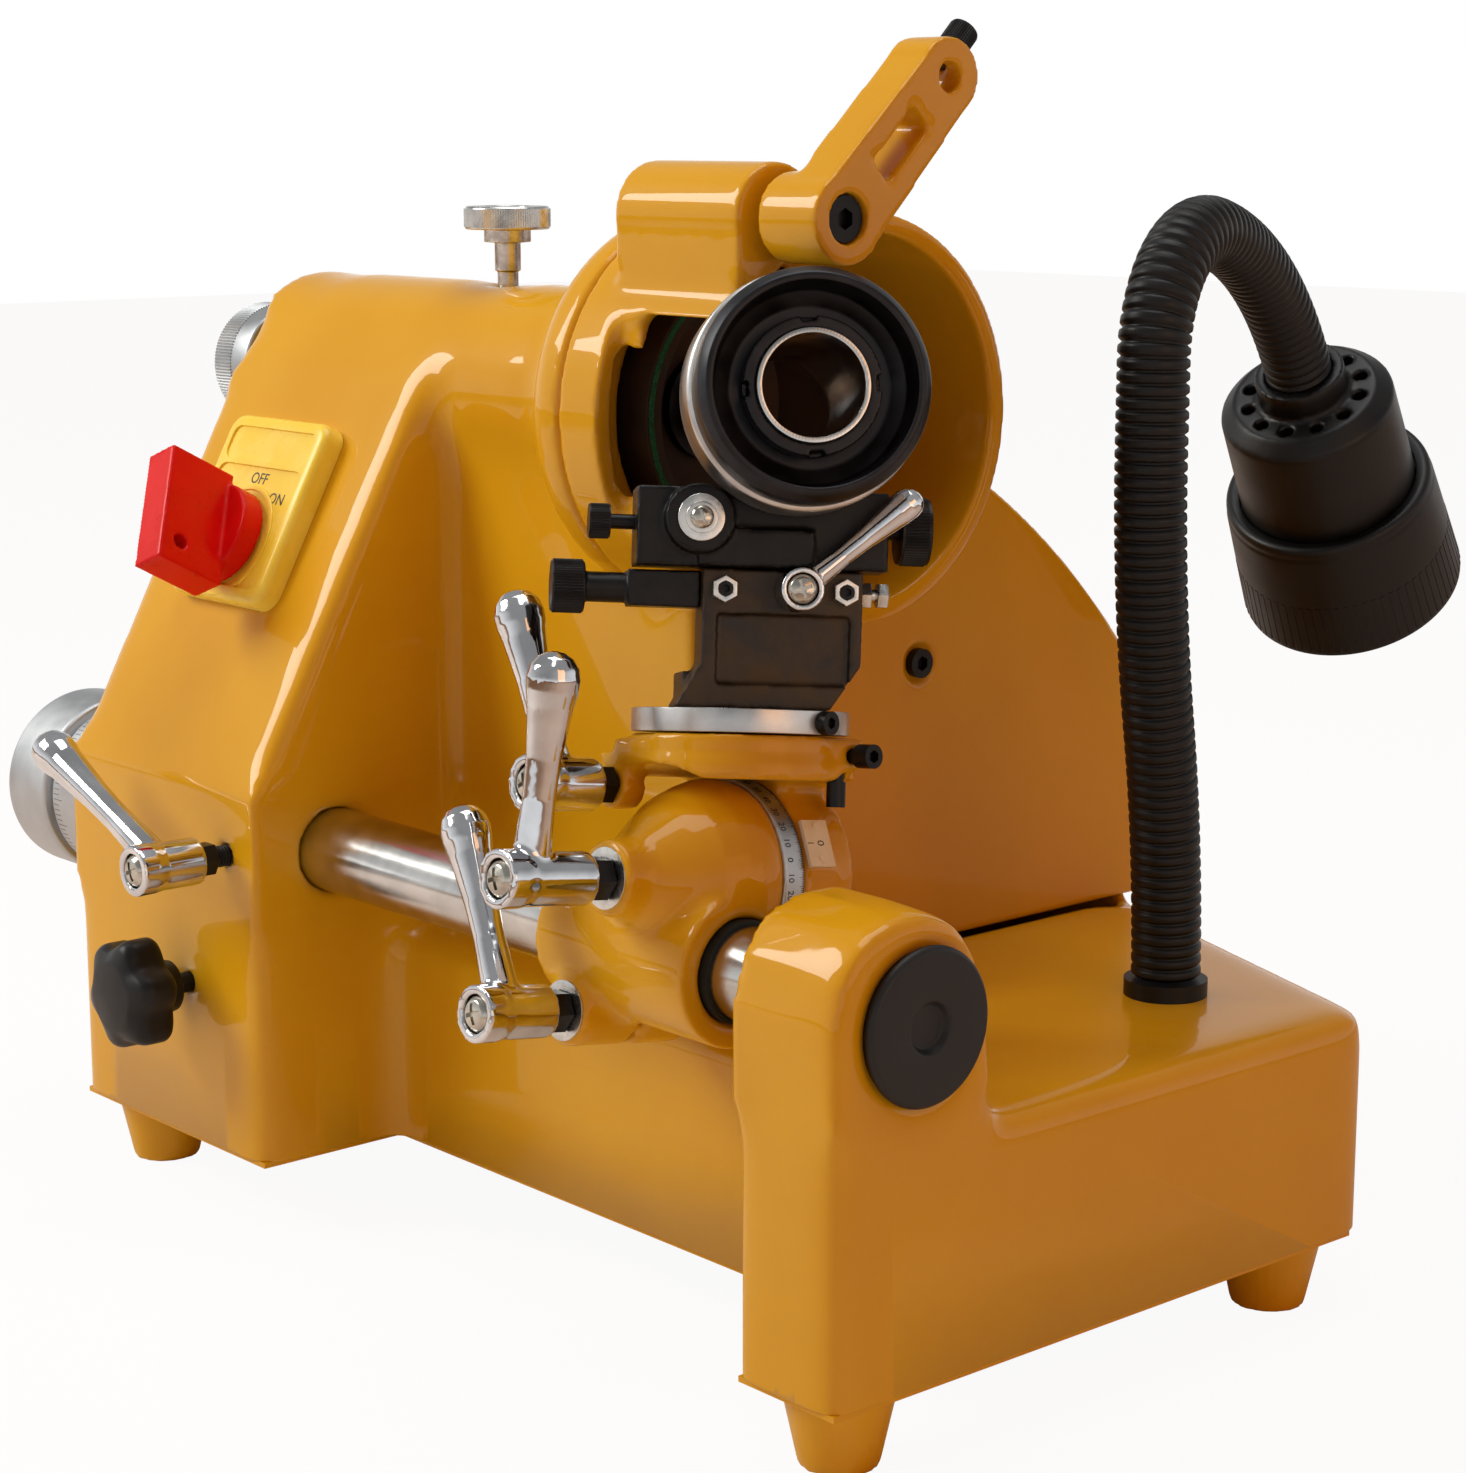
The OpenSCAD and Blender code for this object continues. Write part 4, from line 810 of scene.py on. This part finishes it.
# each row is the name, the seat under the lever, and four lengths in mm: the lever's hub,
# the nut's radius and thickness, and the stud's depth below the lever
clamps = [("bar_lock", moved(-0.111, -0.176, 0.144) @ along_front, 26, 6.5, 7, 32.5),
    ("carriage", carriage_place @ moved(0.084, -0.034, -0.024) @ along_front, 28, 7.5, 7.6, 54),
    ("tilt", carriage_place @ moved(0.111, -0.046, 0.0255) @ along_front, 34, 7.5, 8.6, 82),
    ("swivel", tilt_place @ moved(-0.022, -0.046, 0.03) @ along_front, 26, 6.8, 7.6, 17)]
seats = {}
for name, place, *lengths in clamps:
    seats[name] = place
    hub, hex_r, collar, depth = (length / 1000 for length in lengths)
    node = name + ("_stud" if name == "bar_lock" else "_lever_stud")
    shank = turned_mesh([(0, -0.0004), (0.0039, -0.0004), (0.0039, hub - 0.0025),
        (0, hub - 0.0025)], place, 0.0002, 32)
    head = cross_screw(0.006, 0.0044, place @ moved(0, 0, hub - 0.0024))
    piece(name + "_screw", joined([head, shank]), node, nickel_plate)
    nut = hexagon(hex_r, -collar, -0.0001, place)
    stud = thread(0.004, 0.00125, -depth, -collar + 0.0004, place)
    piece(name + "_nut", joined([nut] + stud), node, black_oxide)
for name, below in [("carriage", -0.0081), ("tilt", -0.0091)]:
    piece(name + "_washer", turned_mesh([(0.0046, -0.0006), (0.0102, -0.0006), (0.0102, 0.0003),
        (0.0046, 0.0003)], seats[name] @ moved(0, 0, below), 0.0002, 64), "carriage", zinc_plate,
        replaces=False)
print("clamp screws ready")

# %% [markdown]
# On the work head, two zinc nuts lock black set screws in the bracket, two more sit on one
# stud at its side, and the slide turns about a screw over a stepped washer.

# %% Head hardware
clamp_row = head_place @ moved(0.008, 0.012, 0.0388)
nuts, studs = [], []
for y in (-0.022, 0.018):
    here = clamp_row @ moved(0, y, 0) @ along_x
    nuts.append(hexagon(0.0046, 0.018, 0.0222, here, 0.0027))
    stud = turned_mesh([(0, 0.0128), (0.0025, 0.0128), (0.0025, 0.0228), (0, 0.0228)], Matrix(),
        0.0002, 32)
    stud = cut_away(stud, hexagon(0.0014, 0.0205, 0.026, Matrix()))
    stud.transform(here)
    studs.append(stud)
side = clamp_row @ moved(0.008, 0, 0) @ turned("X", -90)
nuts += [hexagon(0.0046, 0.0242, 0.0282, side, 0.0025), hexagon(0.0044, 0.03, 0.0338, side)]
nuts += thread(0.0025, 0.0008, 0.015, 0.0325, side)[1:]  # the core alone
piece("bracket_nuts", joined(nuts), "bracket_bolts", zinc_plate)
piece("bracket_set_screws", joined(studs), "bracket_bolts", black_oxide)
pivot = head_place @ moved(0.033, -0.019, 0.0614) @ along_x
wide = turned_mesh([(0.0025, 0), (0.0077, 0), (0.0077, 0.0016), (0.0025, 0.0016)], pivot,
    0.0003, 64)
step = turned_mesh([(0.0025, 0.0014), (0.0052, 0.0014), (0.0052, 0.0024), (0.0025, 0.0024)], pivot,
    0.0002, 64)
piece("pivot_washer", joined([wide, step]), "pivot_screw", zinc_plate)
lever_hub = clamp_row @ moved(0.0184, 0.0015, 0) @ along_x
for node, place, radius, height, low, high in [
        ("pivot_screw", pivot, 0.0038, 0.0028, -0.01, 0.0023),
        ("head_lever_screw", lever_hub, 0.005, 0.0038, -0.017, 0.0133)]:
    head = cross_screw(radius, height, place @ moved(0, 0, high - 0.0001))
    shank = turned_mesh([(0, low), (0.003, low), (0.003, high), (0, high)], place, 0.0002, 32)
    piece(node + "_head", joined([head, shank]), node, nickel_plate)
print("head hardware ready")

# %% [markdown]
# The lamp stands on a flexible neck: a corrugated hose over a coiled steel core, which stays
# where it is bent. Its centre line is a chain of arcs. The hose itself is one surface whose
# radius follows a rule, narrow grooves at an even pitch along the line, so a Geometry Nodes
# tree resamples the line, works out the radius from the length run so far, and sweeps a
# circle along it.

# %% Lamp neck
def centre_line(runs, step):
    """Runs are (radius or straight length, turn in degrees); the line starts upwards."""
    x = z = heading = 0.0
    line = [(x, 0, z)]
    for size, turn in runs:
        length = abs(math.radians(turn)) * size if turn else size
        count = max(1, round(length / step))
        for i in range(count):
            half = math.radians(turn) / count / 2
            heading += half
            chord = length / count
            x += chord * math.sin(heading)
            z += chord * math.cos(heading)
            heading += half
            line.append((x, 0, z))
    return line


line_step = 0.001
in_gland, in_head = 7, 16  # steps hidden at either end
neck_line = centre_line([(0.405, -14.3), (0.405, 14.3), (0.028, 0), (0.042, 100), (0.142, 42.2),
    (in_head * line_step, 0)], line_step)
print("neck ends at", [round(v, 4) for v in neck_line[-1 - in_head]], "in the lamp's frame")
spline_data = bpy.data.curves.new("neck_line", "CURVE")
spline_data.dimensions = "3D"
spline = spline_data.splines.new("POLY")
spline.points.add(len(neck_line) - in_gland - 1)
for point, spot in zip(spline.points, neck_line[in_gland:]):
    point.co = (*spot, 1)

hose, given, out = new_tree("corrugated_hose", {"Radius": 0.0125, "Pitch": 0.0044,
    "Groove": 0.0014, "Sides": 36, "Material": None})
fine = add(hose, "GeometryNodeResampleCurve", {"Curve": given["Geometry"],
    "Length": maths(hose, "DIVIDE", given["Pitch"], 8.0)}, mode="LENGTH")
run = add(hose, "GeometryNodeSplineParameter").outputs["Length"]
wave = maths(hose, "COSINE", maths(hose, "DIVIDE", maths(hose, "MULTIPLY", run, full_turn),
    given["Pitch"]), 0.0)
dip = maths(hose, "POWER", maths(hose, "MULTIPLY", maths(hose, "ADD", wave, 1.0), 0.5), 4.0)
radius = maths(hose, "SUBTRACT", given["Radius"], maths(hose, "MULTIPLY", dip, given["Groove"]))
circle = add(hose, "GeometryNodeCurvePrimitiveCircle", {"Resolution": given["Sides"]})
tube = add(hose, "GeometryNodeCurveToMesh", {"Curve": fine.outputs[0],
    "Profile Curve": circle.outputs[0], "Scale": radius, "Fill Caps": True}).outputs[0]
tube = add(hose, "GeometryNodeSetShadeSmooth", {"Geometry": tube}).outputs[0]
hose.links.new(add(hose, "GeometryNodeSetMaterial", {"Geometry": tube,
    "Material": given["Material"]}).outputs[0], out.inputs[0])
neck = grown(hose, spline_data, {"Material": hose_black})
neck.transform(lamp_place)
piece("lamp_neck_hose", neck, "lamp_neck", hose_black)
print("neck faces", len(neck.polygons))

# %% [markdown]
# The shade screws over the lamp head. Its upper lip is rounded, its wall flares a little, and
# a belt of fine grip flutes runs round the mouth.

# %% Lamp shade
lamp_end = lamp_place @ moved(0.1118, 0, 0.2166) @ turned("Y", 142.2)
piece("lamp_shade_moulded", turned_mesh([(0.0341, 0.0585), (0.0375, 0.058), (0.0392, 0.0588),
    (0.04, 0.0605), (0.04, 0.0625), (0.0405, 0.064), (0.0418, 0.086), (0.0418, 0.0864),
    (0.043, 0.108), (0.043, 0.112), (0.0405, 0.112), (0.0405, 0.108), (0.0375, 0.062),
    (0.0341, 0.062)], lamp_end, 0.001, 128), "lamp_shade", lamp_black)
ring_of_marks("lamp_shade_flutes", lamp_end, "lamp_shade", lamp_black, count=72, radius=0.0424,
    start=0.087, step=full_turn / 72, size=(0.0004, 0.0018, 0.023), lean=math.radians(3.2))
print("lamp ready")

# %% [markdown]
# The switch is a moulded yellow plate with a thick rounded rim, two sunk panels and a ring
# round the knob. The plate is a stack of rounded rectangles, each a little inside the last
# near the top, which gives the rim its soft roll. The panels are cut out of it, and only the
# words OFF and ON are printed on it.

# %% Switch plate
def rounded_slab(width, depth, corner, levels, place):
    """Levels are (inset, height) pairs from bottom to top."""
    sharpest = 0.0003
    steps = 8  # to each quarter turn at a corner
    work = bmesh.new()
    loops = []
    for inset, height in levels:
        r = max(corner - inset, sharpest)
        loop = []
        for i in range(4):
            cx = (width / 2 - inset - r) * (1, -1, -1, 1)[i]
            cy = (depth / 2 - inset - r) * (1, 1, -1, -1)[i]
            for k in range(steps + 1):
                angle = math.radians(90 * (i + k / steps))
                x, y = cx + r * math.cos(angle), cy + r * math.sin(angle)
                loop.append(work.verts.new((x, y, height)))
        loops.append(loop)
    for lower, upper in zip(loops, loops[1:]):
        for i in range(len(lower)):
            j = (i + 1) % len(lower)
            work.faces.new((lower[i], lower[j], upper[j], upper[i]))
    work.faces.new(loops[0][::-1])
    work.faces.new(loops[-1])
    return shaded(mesh_of(work, place), 40)


plate = rounded_slab(0.068, 0.076, 0.008, [(0, 0.0002), (0, 0.0055), (0.0003, 0.007),
    (0.001, 0.0082), (0.002, 0.0089), (0.0034, 0.0092)], Matrix())
for low, high in ((0.019, 0.0325), (-0.0325, 0.0165)):
    panel = rounded_slab(0.057, high - low, 0.004, [(0, 0.0083), (-0.0003, 0.01)],
        moved(0, (low + high) / 2, 0))
    plate = cut_away(plate, panel)
ring = turned_mesh([(0.021, 0.0078), (0.0232, 0.0078), (0.0232, 0.009), (0.021, 0.009)],
    moved(0, -0.014, 0), 0.0004, 96)
barrel = turned_mesh([(0.0062, -0.03), (0.022, -0.042), (0.022, 0.001), (0.0062, 0.001)],
    Matrix(), 0.0005, 48)
plate = joined([plate, ring, barrel])
plate.transform(slope_place)
piece("switch_plate", plate, "switch_box", switch_yellow)
words = [lettering(word, 0.0066, slope_place @ moved(x, y, 0.00835))
    for word, x, y in (("OFF", 0.001, 0.0118), ("ON", 0.0175, 0.0045))]
piece("switch_words", joined(words), "switch_box", print_black, replaces=False)
print("switch ready")

# %% [markdown]
# The studio: a pale floor that runs out of sight, a bright even world and three large soft
# lamps. The world and the floor look white to the camera and through glass, but light the
# machine only a little, so that the lamps still model the forms. Reflections see a room that
# is pale at eye height and darker overhead, which gives chrome its bands.

# %% Floor, world and lamps
pure_white = colour("#FFFFFF")
floor_mesh = bpy.data.meshes.new("floor")
floor_mesh.from_pydata([(-6, -6, 0), (6, -6, 0), (6, 6, 0), (-6, 6, 0)], [], [(0, 1, 2, 3)])
floor = bpy.data.objects.new("floor", floor_mesh)
scene.collection.objects.link(floor)
floor_paper, tree, shader, place = new_material("white_paper_floor", Roughness=0.9,
    Base_Color=colour("#F4F4F4"))
own_light = 0.94  # the rest shows the soft shadow under the machine
path = add(tree, "ShaderNodeLightPath").outputs
glow = add(tree, "ShaderNodeEmission", {"Color": pure_white})
part = maths(tree, "MULTIPLY", path["Is Camera Ray"], own_light)
paper = add(tree, "ShaderNodeMixShader", {0: part, 1: shader.outputs[0], 2: glow.outputs[0]})
tree.links.new(paper.outputs[0], tree.nodes["Material Output"].inputs["Surface"])
floor_mesh.materials.append(floor_paper)
world = bpy.data.worlds.new("studio")
scene.world = world
world.use_nodes = True
tree = world.node_tree
tree.nodes.clear()
path = add(tree, "ShaderNodeLightPath").outputs
seen = maths(tree, "MAXIMUM", path["Is Camera Ray"], path["Is Transmission Ray"])
white = add(tree, "ShaderNodeBackground", {"Color": pure_white})
light = add(tree, "ShaderNodeBackground", {"Color": colour("#FFAC60"), "Strength": 0.3})
mix = add(tree, "ShaderNodeMixShader", {0: seen, 1: light.outputs[0], 2: white.outputs[0]})
direction = add(tree, "ShaderNodeTexCoord")
height = add(tree, "ShaderNodeSeparateXYZ", {"Vector": direction.outputs["Generated"]})
walls = add(tree, "ShaderNodeMapRange", {"Value": height.outputs["Z"], "From Min": 0.05,
    "From Max": 0.45, "To Min": 1.0, "To Max": 0.36})
room = add(tree, "ShaderNodeBackground", {"Color": pure_white,
    "Strength": walls.outputs["Result"]})
mix = add(tree, "ShaderNodeMixShader", {0: path["Is Glossy Ray"], 1: mix.outputs[0],
    2: room.outputs[0]})
add(tree, "ShaderNodeOutputWorld", {"Surface": mix.outputs[0]})
lit_spot = Vector((0, -0.03, 0.2))
for name, spot, size, power, tint in [("key", (-1.25, -1.35, 1.45), 0.9, 28, "#FFFDF6"),
        ("top", (0.0, 0.1, 2.0), 1.2, 14, "#FFFFFF"),
        ("fill", (1.9, -0.2, 0.8), 1.0, 4.0, "#FFB366")]:
    lamp = bpy.data.objects.new(name, bpy.data.lights.new(name, "AREA"))
    lamp.data.size = size
    lamp.data.energy = power
    lamp.data.color = colour(tint)[:3]
    lamp.location = spot
    lamp.rotation_euler = (lit_spot - Vector(spot)).to_track_quat("-Z", "Y").to_euler()
    scene.collection.objects.link(lamp)
scene.view_settings.view_transform = "Standard"
